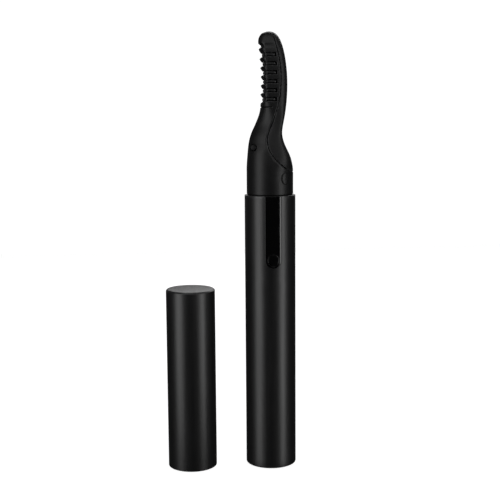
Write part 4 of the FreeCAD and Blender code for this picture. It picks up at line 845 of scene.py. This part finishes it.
def tube_wall(sizes):
    """Make the tube's wall, whose front has a U-shaped opening that runs out at the rim."""
    radius = TUBE_RADIUS / MM
    wall = (TUBE_RADIUS - CAP_BORE) / MM
    half_width = PANEL_HALF / MM + SLOT_MARGIN
    start = PANEL_CENTRE - half_width
    foot_round, rim_round = sizes.foot_round / MM, sizes.rim_round / MM
    ring = [start + half_width * (1 - math.cos(math.radians(turn))) for turn in range(0, 91, 5)]
    near_start = [start - 0.02 - 0.05 * step * step for step in range(9)]
    ends = [foot_round * value for value in (0.0, 0.04, 0.14, 0.3, 0.5, 0.75, 1.0)]
    tops = [RIM_MM - rim_round * value for value in (0.0, 0.06, 0.25, 0.55, 1.0)]
    heights = sorted(set(
        ends + spread(foot_round, near_start[-1], 30) + near_start + ring
        + spread(PANEL_CENTRE, tops[-1], 24) + tops
    ))
    heights = [value for k, value in enumerate(heights) if k == 0 or value - heights[k - 1] > 1e-4]
    first_open = heights.index(min(heights, key=lambda value: abs(value - start)))
    edge_distance = nearest([
        (side * across, -math.sqrt(radius * radius - across * across), height)
        for across, height in u_outline(half_width, RIM_MM, 160, 0.04) for side in (-1, 1)
    ])

    def opening_turn(height):
        """Return the angle of the slot's edge, or below the slot one that closes up to it."""
        if height < start:
            return min(0.3, 0.12 * math.sqrt(start - height) + 0.0005)
        rise = max(PANEL_CENTRE - height, 0.0)
        return math.asin(math.sqrt(max(half_width * half_width - rise * rise, 0.0)) / radius)

    def turns(height):
        """Return the angles from the slot's middle all round at a height."""
        opening = opening_turn(height)
        beside = [opening + value / radius for value in BESIDE_SLOT[1:]]
        rest = spread(beside[-1], math.pi, REST_COLUMNS + 1)[1:]
        return both_sides(spread(0, opening, SLOT_COLUMNS + 1) + beside + rest, 2 * math.pi)

    table = [turns(height) for height in heights]
    columns = len(table[0]) - 1

    def left_out(column, row):
        within = column < SLOT_COLUMNS or column >= columns - SLOT_COLUMNS
        return within and row >= first_open

    def place(column, row, layer):
        height = heights[row]
        turn = table[row][column]
        across, ahead = math.sin(turn), -math.cos(turn)
        if layer:
            return ((radius - wall) * across, (radius - wall) * ahead, height), 0.0
        reach = radius
        distance = edge_distance((radius * across, radius * ahead, height))
        reach -= fall(distance, sizes.slot_round / MM)
        reach -= fall(height, foot_round) + fall(RIM_MM - height, rim_round)
        close = min(RIM_MM - height, height * 0.6)
        return (reach * across, reach * ahead, height), fade_from_edge(close, 0.22)

    return bent_wall(columns, len(heights) - 1, place, left_out)


class CURLER_OT_tube(CurlerOperator):
    """Make the anodised tube with the slot for its panel"""

    bl_idname = "curler.tube"
    bl_label = "Tube"

    def execute(self, context):
        finish_piece("tube_body", tube_wall(shape()), "tube", "pen", ("outer_tube",))
        return {"FINISHED"}


def head_heights():
    """Return the heights above the rim of the head's sections, close where its form changes."""
    steps = (0.0, 0.015, 0.05, 0.1, 0.17, 0.28, 0.42, 0.58)
    slot_edges = []
    for centre in SLOTS:
        slot_edges += [centre - SLOT_HALF - step for step in steps]
        slot_edges += [centre + SLOT_HALF + step for step in steps]
        slot_edges += [centre - 0.2, centre + 0.2]
    return sorted(
        spread(SPIGOT_FOOT / MM - RIM_MM, -0.2, 4)
        + [-0.1, 0.0, 0.05, 0.1, 0.16, 0.22, 0.26, 0.3, 0.34, 0.4, 0.6]
        + spread(1.2, 6.6, 8) + list(np.arange(6.7, 9.7, 0.07))
        + list(np.arange(9.7, 16.2, 0.16)) + list(np.arange(16.2, 26.8, 0.35))
        + [GROOVE + value for value in spread(-0.36, 0.36, 13)] + [27.8, 28.1]
        + slot_edges + [DIP + value for value in spread(-0.95, 0.95, 17)]
        + list(np.arange(47.4, TIP_START, 0.22))
    )


def head_rows():
    """Return the head's outline rows, from the spigot's foot to the tip."""
    picked = []
    for value in head_heights():
        if not picked or value - picked[-1] > 0.004:
            picked.append(value)
    along = np.linspace(0, 1, len(OUTLINE))
    rising = np.nonzero(OUTLINE[:, 0] <= TIP_START)[0][-1] + 1
    at = list(np.interp(picked, OUTLINE[:rising, 0], along[:rising]))
    at += spread(at[-1], 1.0, 16)[1:]
    return [np.array([np.interp(value, along, OUTLINE[:, k]) for k in range(7)]) for value in at]


class HeadLayout:
    """Places the corners of the head's shells: which angles lie on the seam and on the comb's
    slots at each height, and how far rounding and grooves draw the surface in."""

    back_half = 9
    seam_side = (0.0, 0.06, 0.15, 0.27, 0.38, 0.5)
    floor_side = (0.0, 0.03, 0.08, 0.16, 0.3)
    middle = 5
    front_half = 16

    def __init__(self, sizes, seam_shift):
        self.sizes = sizes
        self.rows = head_rows()
        self.ovals = [Oval(row) for row in self.rows]
        self.seam_turns = []
        for oval in self.ovals:
            opened = 0.15 + 0.85 * smooth_share(oval.height, 7.6, 9.6)
            self.seam_turns.append(oval.turn_at(seam_x(oval.height) + seam_shift * opened))
        crossing = [k for k, turn in enumerate(self.seam_turns) if turn > CLOSED]
        self.first_open = crossing[0] - 1
        self.last_open = crossing[-1] + 1
        self.seam_distance = nearest(self.seam_points())
        self.slot_distance = nearest(self.slot_points())

    def seam_points(self):
        """Return closely spaced points of the seam, on both sides."""
        points = []
        for row, following, turn, next_turn in zip(
            self.rows, self.rows[1:], self.seam_turns, self.seam_turns[1:]
        ):
            if max(turn, next_turn) <= CLOSED:
                continue
            gap = Oval(row).point(turn) - Oval(following).point(next_turn)
            for step in np.linspace(0, 1, max(2, int(gap.length / 0.02)), endpoint=False):
                oval = Oval(row + (following - row) * step)
                point = oval.point(turn + (next_turn - turn) * step)
                points += [point, Vector((point.x, -point.y, point.z))]
        return points

    def slot_points(self):
        """Return closely spaced points of the edges of the open slots."""
        points = []
        for centre in SLOTS:
            for height in (centre - SLOT_HALF, centre + SLOT_HALF):
                oval = Oval(row_at(height))
                start = oval.turn_at(slot_floor_x(height))
                points += [oval.point(turn) for turn in spread(start, 2 * math.pi - start, 420)]
            for height in spread(centre - SLOT_HALF, centre + SLOT_HALF, 30):
                oval = Oval(row_at(height))
                turn = oval.turn_at(slot_floor_x(height))
                points += [oval.point(turn), oval.point(2 * math.pi - turn)]
        return points

    def seam_turn(self, number):
        """Return the seam's angle, or an open one where the head goes all round."""
        if number <= self.first_open:
            below = self.ovals[self.first_open].height - self.ovals[number].height
            return min(0.8, 0.5 * math.sqrt(below))
        if number >= self.last_open:
            return min(0.8, 0.3 * (number - self.last_open))
        return self.seam_turns[number]

    def floor_turn(self, number, seam):
        """Return the angle of the slots' floor, or one between seam and front off the comb."""
        oval = self.ovals[number]
        if FIRST_SLOT - 1 <= oval.height <= COMB_TOP:
            return max(oval.turn_at(slot_floor_x(oval.height)), seam + 0.08)
        return seam + (math.pi - seam) * 0.22

    def turns(self, number):
        """Return the angles from the back all round at one section."""
        oval = self.ovals[number]
        seam = self.seam_turn(number)
        floor = self.floor_turn(number, seam)
        span = (floor - seam) * oval.speed((floor + seam) / 2)
        near = min(1.0, 0.45 * span / self.seam_side[-1])
        far = min(1.0, 0.4 * span / self.floor_side[-1])
        from_seam = [seam + near * value / oval.speed(seam + 0.03) for value in self.seam_side]
        to_floor = [floor - far * value / oval.speed(floor - 0.03) for value in self.floor_side]
        between = spread(from_seam[-1], to_floor[-1], self.middle + 1)[1:-1]
        front = spread(floor, math.pi, self.front_half + 1)[1:]
        back = spread(0, seam, self.back_half + 1)[:-1]
        return both_sides(back + from_seam + between + to_floor[::-1] + front, 2 * math.pi)

    def draw_in(self, point, seam_round):
        """Return how far the surface lies inside the plain outline, and how worn it is."""
        near_seam = self.seam_distance(point)
        near_slot = self.slot_distance(point)
        comb = smooth_share(point.z, 22.0, 28.0)
        frontness = 1 - smooth_share(point.x - comb_x(0.0, point.z), 0.3, 1.0)
        frontness *= smooth_share(point.z, 22.0, 27.0)
        depth = slope(near_seam, seam_round * (1 - 0.8 * comb), 30)
        depth += fall(near_slot, self.sizes.tooth_edge / MM) * (1 - frontness)
        depth += self.tooth_slopes(point.z) * frontness
        dip = 1 - smooth_share(abs(point.z - DIP), 0.1, 0.95)
        depth += dip * (0.12 * smooth_share(1.3 - point.x, 0.0, 1.2) + 0.62 * frontness)
        line = math.exp(-(((point.z - GROOVE) / GROOVE_WIDE) ** 2))
        depth += GROOVE_DEEP * line * smooth_share(0.5 - point.x, 0.0, 0.6)
        depth += RIM_GAP_DEEP * math.exp(-(((point.z - RIM_GAP) / RIM_GAP_WIDE) ** 4))
        return depth, fade_from_edge(min(near_seam, near_slot * 1.5), 0.3)

    def tooth_slopes(self, height):
        """Return how far a tooth's front falls back: long below its tip, short above it."""
        width = self.sizes.tooth_tip / MM
        if not FIRST_SLOT - SLOT_HALF <= height <= SLOTS[-1] + 1.6:
            outside = max(FIRST_SLOT - height, height - SLOTS[-1]) - SLOT_HALF
            return slope(outside, width, 46)
        below = (height - FIRST_SLOT) % TOOTH_PITCH - SLOT_HALF
        above = TOOTH_PITCH - 2 * SLOT_HALF - below
        return slope(below, width + TIP_LIFT, 34) + slope(above, width - TIP_LIFT, 55)

    def slant(self, point):
        """Return how far the seam leans inside, forward positive, so that no light passes it."""
        lean = 0.8 * smooth_share(point.y, -1.0, 1.0) - 0.3
        return lean * fade_from_edge(self.seam_distance(point), 1.6)

    def inside(self, oval, turn, share=1.0, roof=math.inf):
        """Return the inner corner behind an outer one, through a share of the shell's wall."""
        comb = self.sizes.shell_wall / MM
        wall = NECK_WALL + (comb - NECK_WALL) * smooth_share(oval.height, 20.0, 27.0)
        point = Oval(row_at(min(oval.height, roof)), wall * share).point(turn)
        point.x -= self.slant(oval.point(turn)) * share
        point.z += RIM_MM
        return point

    def outside(self, oval, turn, depth):
        """Return the outer corner, drawn in by a depth."""
        point = oval.point(turn) + oval.inward(turn) * depth
        point.z += RIM_MM
        return point


class CURLER_OT_comb_head(CurlerOperator):
    """Make the comb shell with its spigot, teeth and light opening"""

    bl_idname = "curler.comb_head"
    bl_label = "Comb head"

    def execute(self, context):
        sizes = shape()
        layout = HeadLayout(sizes, -sizes.seam_gap / MM / 2)
        table = [layout.turns(number) for number in range(len(layout.rows))]
        columns = len(table[0]) - 1
        floor_column = columns // 2 - layout.front_half

        def left_out(column, row):
            if column < layout.back_half or column >= columns - layout.back_half:
                return layout.first_open <= row < layout.last_open
            middle = (layout.ovals[row].height + layout.ovals[row + 1].height) / 2
            in_slot = min(abs(middle - centre) for centre in SLOTS) < SLOT_HALF
            return in_slot and floor_column <= column < columns - floor_column

        def place(column, row, layer):
            oval = layout.ovals[row]
            turn = table[row][column]
            if layer:
                return layout.inside(oval, turn, roof=ROOF), 0.0
            depth, worn_and_highlight = layout.draw_in(oval.point(turn), sizes.seam_round / MM)
            return layout.outside(oval, turn, min(depth, oval.half * 0.6)), worn_and_highlight

        bm = bent_wall(columns, len(table) - 1, place, left_out)
        cutters = (lens_cutter(), pocket_cutter())
        finish_piece("comb_head", bm, "head", "pen", ("comb_shell",), cutters=cutters)
        return {"FINISHED"}


# The light opening: its radius, how far it lies behind the head's front and below the pipe's top,
# and its direction from -Y. The lens is a little smaller and lies deep in it, over a thin rod.
LENS_RADIUS = 1.12
LENS_SETBACK = 1.3
LENS_DROP = 0.72
LENS_TURN = math.radians(8)
DISC_RADIUS = 0.9 * MM
DISC_DEEP = 1.15 * MM
ROD_RADIUS = 0.8 * MM


def lens_seat():
    """Return where the light opening meets the head's surface, and its direction."""
    height = high("ready_light_pipe").z / MM - LENS_DROP - RIM_MM
    oval = Oval(row_at(height))
    turn = oval.turn_at(oval.centre - oval.front_half + LENS_SETBACK)
    point = oval.point(2 * math.pi - turn) * MM
    direction = Vector((-math.sin(LENS_TURN), -math.cos(LENS_TURN), 0.0))
    return Vector((point.x, point.y, RIM + point.z)), direction


def faced(bm, direction, place):
    """Point a turned shape along a direction and put it in its place."""
    return moved(bm, direction.to_track_quat("Z", "Y").to_matrix(), place)


def lens_cutter():
    """Make the cutter of the light opening."""
    surface, direction = lens_seat()
    return faced(hole_cutter(LENS_RADIUS * MM, 0.02 * MM, 1.6 * MM), direction, surface)


# The snap bump: half its width and height, its height above the rim, its turn from +X, and the
# width and depth of the crescent that is open in front of it.
BUMP_WIDE = 1.5 * MM
BUMP_TALL = 1.85 * MM
BUMP_HEIGHT = 5.25 * MM
BUMP_TURN = math.radians(-55)
CRESCENT_WIDE = 0.3 * MM
CRESCENT_DEEP = 0.4 * MM


def seat_bump(profile, turn, aside=0.0):
    """Turn a profile, stretch it to the bump's oval and put it on the spigot."""
    bm = moved(turned_profile(profile, 72), quarter_turn("Y"))
    for vert in bm.verts:
        vert.co.y = vert.co.y * BUMP_WIDE + aside
        vert.co.z *= BUMP_TALL
        vert.co.x += math.sqrt(SPIGOT_RADIUS ** 2 - vert.co.y ** 2)
    moved(bm, place=(0, 0, RIM + BUMP_HEIGHT))
    return moved(bm, Matrix.Rotation(turn, 3, "Z"))


def pocket_cutter():
    """Make the cutter of the crescent in front of the snap bump."""
    profile = [(0.0, -CRESCENT_DEEP), (1.0, -CRESCENT_DEEP), (1.0, 1 * MM), (0.0, 1 * MM)]
    return seat_bump(profile, BUMP_TURN, -CRESCENT_WIDE)


class CURLER_OT_lens(CurlerOperator):
    """Make the smoked lens and the light pipe behind it"""

    bl_idname = "curler.lens"
    bl_label = "Light lens"

    def execute(self, context):
        surface, direction = lens_seat()
        profile = [
            (0.0, 0.03), (0.4, 0.028), (0.75, 0.018), (0.95, 0.0), (1.0, -0.05), (1.0, -2.0),
            (0.0, -2.0),
        ]
        profile = [(across * DISC_RADIUS, height * MM) for across, height in profile]
        bm = faced(turned_profile(profile, 48), direction, surface - direction * DISC_DEEP)
        foot, top = low("ready_light_pipe").z, surface.z + 0.5 * MM
        profile = [
            (0.0, foot), (ROD_RADIUS, foot), (ROD_RADIUS, top - 0.4 * MM), (ROD_RADIUS * 0.7, top),
            (0.0, top),
        ]
        axis = (low("ready_light_pipe").x + high("ready_light_pipe").x) / 2
        pipe = moved(turned_profile(profile, 32), place=(min(axis, -2.2 * MM), 0.0, 0.0))
        mesh = mesh_of("ready_lens", pipe)
        bm.from_mesh(mesh)
        bpy.data.meshes.remove(mesh)
        finish_piece("ready_lens", bm, "smoked_lens", "pen", ("ready_light_pipe",))
        return {"FINISHED"}


class CURLER_OT_head_back(CurlerOperator):
    """Make the back cover of the head"""

    bl_idname = "curler.head_back"
    bl_label = "Head back"

    def execute(self, context):
        sizes = shape()
        layout = HeadLayout(sizes, sizes.seam_gap / MM / 2)
        seam_round = sizes.seam_round / MM * 0.35
        first, last = layout.first_open, layout.last_open
        table = []
        for number in range(first, last + 1):
            oval = layout.ovals[number]
            seam = layout.seam_turns[number]
            reach = seam * oval.speed(seam / 2 + 0.01)
            near = min(1.0, 0.5 * reach / layout.seam_side[-1])
            edge = [seam - near * value / oval.speed(seam - 0.03) for value in layout.seam_side]
            half = [max(value, 0.0) for value in edge + spread(edge[-1], 0, 12)[1:]]
            table.append(both_sides(half, 0.0))
        rows = len(table) - 1

        def place(column, row, layer):
            oval = layout.ovals[first + row]
            turn = table[row][column]
            ending = min(row, rows - row)
            if layer:
                return layout.inside(oval, turn, min(1.0, 0.25 + 0.12 * ending)), 0.0
            near_seam = layout.seam_distance(oval.point(turn))
            depth = slope(near_seam, seam_round, 32) * min(1.0, 0.2 + 0.1 * ending)
            point = layout.outside(oval, turn, min(depth, oval.half * 0.5))
            return point, fade_from_edge(near_seam, 0.3)

        bm = bent_wall(len(table[0]) - 1, rows, place, wraps=False)
        finish_piece("head_back", bm, "head_cover", "pen", ("back_cover",))
        return {"FINISHED"}


# The heating bar, in millimetres: how far its front and back lie behind the tooth tips and half its
# width between the ribs, then a rib's front, half its height, and the radius of its edges.
BAR_FRONT = 0.84
BAR_BACK = 4.45
BAR_SIDE = 2.8
RIB_FRONT = 0.8
RIB_HALF = 0.332
RIB_ROUND = 0.12


class CURLER_OT_heater(CurlerOperator):
    """Make the heating bar with the ribs that show in the comb's slots"""

    bl_idname = "curler.heater"
    bl_label = "Heating bar"

    def execute(self, context):
        foot = low("heater_plate").z / MM - RIM_MM + 0.02
        top = high("heater_plate").z / MM - RIM_MM - 0.02
        heights = spread(foot, top, 12)
        for centre in SLOTS:
            for value in (0.0, 0.2, 0.27, 0.31, 0.33, 0.335):
                heights += [centre - value, centre + value]
        heights = sorted(set(round(value, 5) for value in heights))
        around = 64

        def place(column, row, layer):
            height = heights[row]
            away = min(abs(height - centre) for centre in SLOTS)
            in_rib = away < RIB_HALF - 0.001
            front, back, half_side, power = BAR_FRONT, BAR_BACK, BAR_SIDE, 0.5
            if in_rib:
                side = Oval(row_at(height)).side - 0.3
                front, back, half_side, power = RIB_FRONT, SLOT_DEPTH - 0.03, side, 0.4
            front, back = comb_x(front, height), comb_x(back, height)
            half_side -= fall(RIB_HALF - away, RIB_ROUND)
            turn = 2 * math.pi * column / around
            reach = 0.45 if layer else 1.0
            point = (
                (front + back) / 2 + reach * (back - front) / 2 * bowed(math.cos(turn), power),
                reach * half_side * bowed(math.sin(turn), power),
                height + RIM_MM,
            )
            # The ribs take an even share of the paler colour: painted light standing in for the lit
            # floor seen in the comb's slots.
            return point, 0.15 if in_rib else 0.0

        bm = bent_wall(around, len(heights) - 1, place)
        finish_piece("heating_bar", bm, "heater", "pen", ("heater_plate",))
        return {"FINISHED"}


class CURLER_OT_snaps(CurlerOperator):
    """Make the two snap bumps that hold the cap"""

    bl_idname = "curler.snaps"
    bl_label = "Snap bumps"

    def execute(self, context):
        rise = shape().bump_rise
        dome = ((0.0, 1), (0.3, 0.97), (0.6, 0.88), (0.8, 0.74), (0.9, 0.62), (0.96, 0.4), (1.0, 0))
        profile = [(across, rise * height) for across, height in dome]
        profile += [(1.0, -0.6 * MM), (0.0, -0.6 * MM)]
        for name, turn in (("snap_front", BUMP_TURN), ("snap_back", BUMP_TURN + math.pi)):
            finish_piece(name, seat_bump(profile, turn), "head", "pen", sharp=75)
        return {"FINISHED"}


class CURLER_OT_panel(CurlerOperator):
    """Make the gloss panel that fills the tube's slot"""

    bl_idname = "curler.panel"
    bl_label = "Gloss panel"

    def execute(self, context):
        half = PANEL_HALF / MM + PANEL_MARGIN
        centre = PANEL_CENTRE
        top = PANEL_TOP / MM
        edge_round = shape().panel_round / MM
        heights = [centre - half * math.cos(math.radians(turn)) for turn in range(0, 91, 3)]
        heights += spread(centre, top - 0.14, 24)[1:] + [top - 0.09, top - 0.04, top - 0.01, top]
        edge = [0.0, 0.004, 0.014, 0.03, 0.05]
        shares = edge + spread(0.09, 0.91, 21) + [0.95, 0.97, 0.986, 0.996, 1.0]
        outline = u_outline(half, top, 200, 0.03)
        outline += [(across, top) for across in np.arange(0, half, 0.03)]
        distance = nearest([(side * x, 0.0, height) for x, height in outline for side in (-1, 1)])

        def place(column, row, layer):
            height = heights[row]
            rise = max(centre - height, 0.0)
            wide = math.sqrt(max(half * half - rise * rise, 0.0))
            across = wide * (2 * shares[column] - 1)
            if layer:
                return (across, -PANEL_BACK / MM, height), 0.0
            close = distance((across, 0.0, height))
            reach = PANEL_FACE / MM - fall(close, edge_round)
            ahead = -math.sqrt(reach * reach - across * across)
            return (across, ahead, height), fade_from_edge(close, 0.15)

        bm = bent_wall(len(shares) - 1, len(heights) - 1, place, wraps=False)
        hole = hole_cutter(KEY_RADIUS + 0.08 * MM, 0.12 * MM, 3 * MM)
        moved(hole, quarter_turn("X"), (0, -PANEL_FACE, KEY_CENTRE))
        finish_piece("gloss_panel", bm, "panel", "pen", ("window_panel",), cutters=(hole,))
        return {"FINISHED"}


class CURLER_OT_key(CurlerOperator):
    """Make the power key, dished for a fingertip"""

    bl_idname = "curler.key"
    bl_label = "Power key"

    def execute(self, context):
        face = KEY_FACE - KEY_BACK
        dish = (
            (0.0, 0.07), (0.35, 0.06), (0.65, 0.035), (0.85, 0.008), (0.93, 0.0), (0.97, 0.012),
            (0.99, 0.04), (1.0, 0.09),
        )
        profile = [(KEY_RADIUS * across, face - depth * MM) for across, depth in dish]
        profile += [
            (KEY_RADIUS, FLANGE), (KEY_RADIUS + FLANGE, FLANGE), (KEY_RADIUS + FLANGE, 0.0),
            (0.0, 0.0),
        ]
        bm = moved(turned_profile(profile, 72), quarter_turn("X"))
        for vert in bm.verts:
            if -vert.co.y > FLANGE + 0.1 * MM:
                vert.co.y += KEY_FACE - math.sqrt(KEY_FACE ** 2 - vert.co.x ** 2)
        moved(bm, place=(0, -KEY_BACK, KEY_CENTRE))
        finish_piece("key_cap", bm, "key", "key", ("power_key",), sharp=50)
        return {"FINISHED"}


# Inside the cap: the height and the depth of the groove that takes the snap bumps, and the
# thickness of the closed end.
CAP_GROOVE = 4.7
CAP_GROOVE_DEEP = 0.15
CAP_ROOF = 0.6


class CURLER_OT_cap(CurlerOperator):
    """Make the cap's anodised shell"""

    bl_idname = "curler.cap"
    bl_label = "Cap"

    def execute(self, context):
        sizes = shape()
        radius = CAP_RADIUS / MM
        bore = CAP_BORE / MM + 0.05
        groove = bore + CAP_GROOVE_DEEP
        top = CAP_TOP / MM
        chamfer = sizes.cap_chamfer / MM
        profile = rounded([
            (0.0, top, 0), (radius - chamfer, top, 0.14), (radius, top - chamfer, 0.14),
            (radius, 0.0, 0.12), (bore, 0.0, 0.06), (bore, CAP_GROOVE - 2.2, 0.04),
            (groove, CAP_GROOVE - 2.05, 0.04), (groove, CAP_GROOVE + 2.05, 0.04),
            (bore, CAP_GROOVE + 2.2, 0.04), (bore, top - CAP_ROOF, 0), (0.0, top - CAP_ROOF, 0),
        ])
        bm = turned_profile([(x * MM, z * MM) for x, z in profile], sizes.turned_steps)
        # Painted highlight: the chamfer round the closed end takes the paler colour, strongest
        # halfway down it, so that it shows as a bright line.
        wear_and_highlight = bm.verts.layers.float.new("edge_wear")
        for vert in bm.verts:
            below = (CAP_TOP - vert.co.z) / MM
            outside = vert.co.xy.length > CAP_RADIUS - sizes.cap_chamfer * 1.05
            if outside and below < chamfer + 0.03:
                vert[wear_and_highlight] = fade_from_edge(abs(below - chamfer / 2), 0.5) * 0.6
        moved(bm, place=(CAP_X, 0.0, 0.0))
        finish_piece("cap_body", bm, "cap", "cap", ("cap_shell",), sharp=35)
        return {"FINISHED"}


# The middle of the pen, which every lamp faces.
LAMP_AIM = Vector((0.0, 0.0, 0.07))


class CURLER_OT_stage(CurlerOperator):
    """Make the floor, the backdrop, the lamps and the camera"""

    bl_idname = "curler.stage"
    bl_label = "Stage"

    def execute(self, context):
        kept = context.scene.curler_stage
        tint = tuple(kept.floor)
        floor = self.plane("stage_floor", (0.9, 0.7), (0.0, 0.15, -0.0004), 0, tint, 0.92, 0.0)
        floor.visible_glossy = False
        floor.visible_shadow = False
        self.plane("stage_backdrop", (3.0, 1.6), (0.0, 0.9, 0.75), 90, tint, 1.0, 0.04)
        self.world(context)
        self.strip("lamp_left", (-0.437, -0.243, 0.08), (0.28, 0.56), kept.left_power)
        self.strip("lamp_right", (0.380, -0.325, 0.08), (0.2, 0.56), kept.right_power)
        self.strip("lamp_top", (0.14, 0.42, 0.42), (0.44, 0.3), kept.top_power)
        self.strip("lamp_fill", (-0.05, -0.3, 0.5), (0.9, 0.45), kept.fill_power)
        self.camera(context, kept)
        context.scene.view_settings.view_transform = "Standard"
        return {"FINISHED"}

    def plane(self, name, size, centre, tilt, tint, glow, mirror):
        """Make a pale sheet that glows so much to the camera, and so much in mirrors."""
        bm = bmesh.new()
        bmesh.ops.create_grid(bm, x_segments=12, y_segments=12, size=0.5)
        bmesh.ops.scale(bm, verts=bm.verts[:], vec=(size[0], size[1], 1.0))
        moved(bm, Matrix.Rotation(math.radians(tilt), 3, "X"), centre)
        sheet = linked(name, mesh_of(name, bm))
        recipe = Recipe(name)
        grain = recipe.ranged(recipe.noise(1.5), 0.3, 0.7, 0.0, 1.0)
        base = recipe.mixed(grain, tint, shade(tint, 1.04))
        path = recipe.add("ShaderNodeLightPath")
        seen = recipe.combined(path.outputs["Is Camera Ray"], glow)
        mirrored = recipe.combined(path.outputs["Is Glossy Ray"], mirror)
        sheet.data.materials.append(recipe.finished(
            base_color=base, roughness=0.9, specular_ior_level=0.0,
            emission_color=(1.0, 1.0, 1.0, 1.0),
            emission_strength=recipe.combined(seen, mirrored, "ADD"),
        ))
        return sheet

    def world(self, context):
        """Make a surround that is white to the camera and dim to everything else."""
        world = bpy.data.worlds.new("curler_surround")
        context.scene.world = world
        world.use_nodes = True
        tree = world.node_tree
        tree.nodes.clear()
        output = tree.nodes.new("ShaderNodeOutputWorld")
        mix = tree.nodes.new("ShaderNodeMixShader")
        path = tree.nodes.new("ShaderNodeLightPath")
        tree.links.new(path.outputs["Is Camera Ray"], mix.inputs[0])
        for socket, strength in ((1, 0.02), (2, 1.0)):
            white = tree.nodes.new("ShaderNodeBackground")
            white.inputs["Color"].default_value = (1.0, 1.0, 1.0, 1.0)
            white.inputs["Strength"].default_value = strength
            tree.links.new(white.outputs[0], mix.inputs[socket])
        tree.links.new(mix.outputs[0], output.inputs["Surface"])

    def strip(self, name, centre, size, power):
        """Make one soft lamp that faces the middle of the pen."""
        data = bpy.data.lights.new(name, "AREA")
        data.shape = "RECTANGLE"
        data.size, data.size_y = size
        data.energy = power
        lamp = linked(name, data)
        lamp.location = centre
        lamp.rotation_mode = "QUATERNION"
        lamp.rotation_quaternion = (LAMP_AIM - Vector(centre)).to_track_quat("-Z", "Y")
        lamp.visible_camera = False

    def camera(self, context, kept):
        """Put the camera in its place and aim it."""
        data = bpy.data.cameras.new("camera")
        data.sensor_width = 36.0
        data.lens = kept.focal
        camera = linked("camera", data)
        turn = kept.camera_azimuth
        camera.location = (
            kept.camera_distance * math.sin(turn), -kept.camera_distance * math.cos(turn),
            kept.camera_height,
        )
        aim = Euler((math.radians(90) - kept.camera_pitch, 0.0, turn + kept.camera_pan))
        roll = Quaternion((0.0, 0.0, 1.0), kept.camera_roll)
        camera.rotation_mode = "QUATERNION"
        camera.rotation_quaternion = aim.to_quaternion() @ roll
        context.scene.camera = camera


class CURLER_PT_panel(bpy.types.Panel):
    """Lists the steps and the settings"""

    bl_idname = "CURLER_PT_panel"
    bl_label = "Eyelash curler"
    bl_space_type = "VIEW_3D"
    bl_region_type = "UI"
    bl_category = "Curler"

    def draw(self, context):
        for step in STEPS:
            self.layout.operator(step.bl_idname)
        for settings in GROUPS:
            group = getattr(context.scene, settings)
            box = self.layout.box()
            for name in group.bl_rna.properties.keys():
                if name not in ("rna_type", "name"):
                    box.prop(group, name)


STEPS = (
    CURLER_OT_finishes, CURLER_OT_tube, CURLER_OT_panel, CURLER_OT_key, CURLER_OT_comb_head,
    CURLER_OT_lens, CURLER_OT_head_back, CURLER_OT_heater, CURLER_OT_snaps, CURLER_OT_cap,
    CURLER_OT_stage,
)
GROUPS = {
    "curler_shape": CurlerShape, "curler_finish": CurlerFinish, "curler_stage": CurlerStage,
}


def register():
    """Add the settings, the steps and the panel."""
    for group in (*GROUPS.values(), *STEPS, CURLER_PT_panel):
        bpy.utils.register_class(group)
    for name, group in GROUPS.items():
        setattr(bpy.types.Scene, name, PointerProperty(type=group))


def unregister():
    """Take the settings, the steps and the panel away."""
    for name in GROUPS:
        delattr(bpy.types.Scene, name)
    for group in reversed((*GROUPS.values(), *STEPS, CURLER_PT_panel)):
        bpy.utils.unregister_class(group)


def main():
    """Run the steps in order."""
    register()
    for step in STEPS:
        category, name = step.bl_idname.split(".")
        getattr(getattr(bpy.ops, category), name)()


if __name__ == "__main__":
    main()
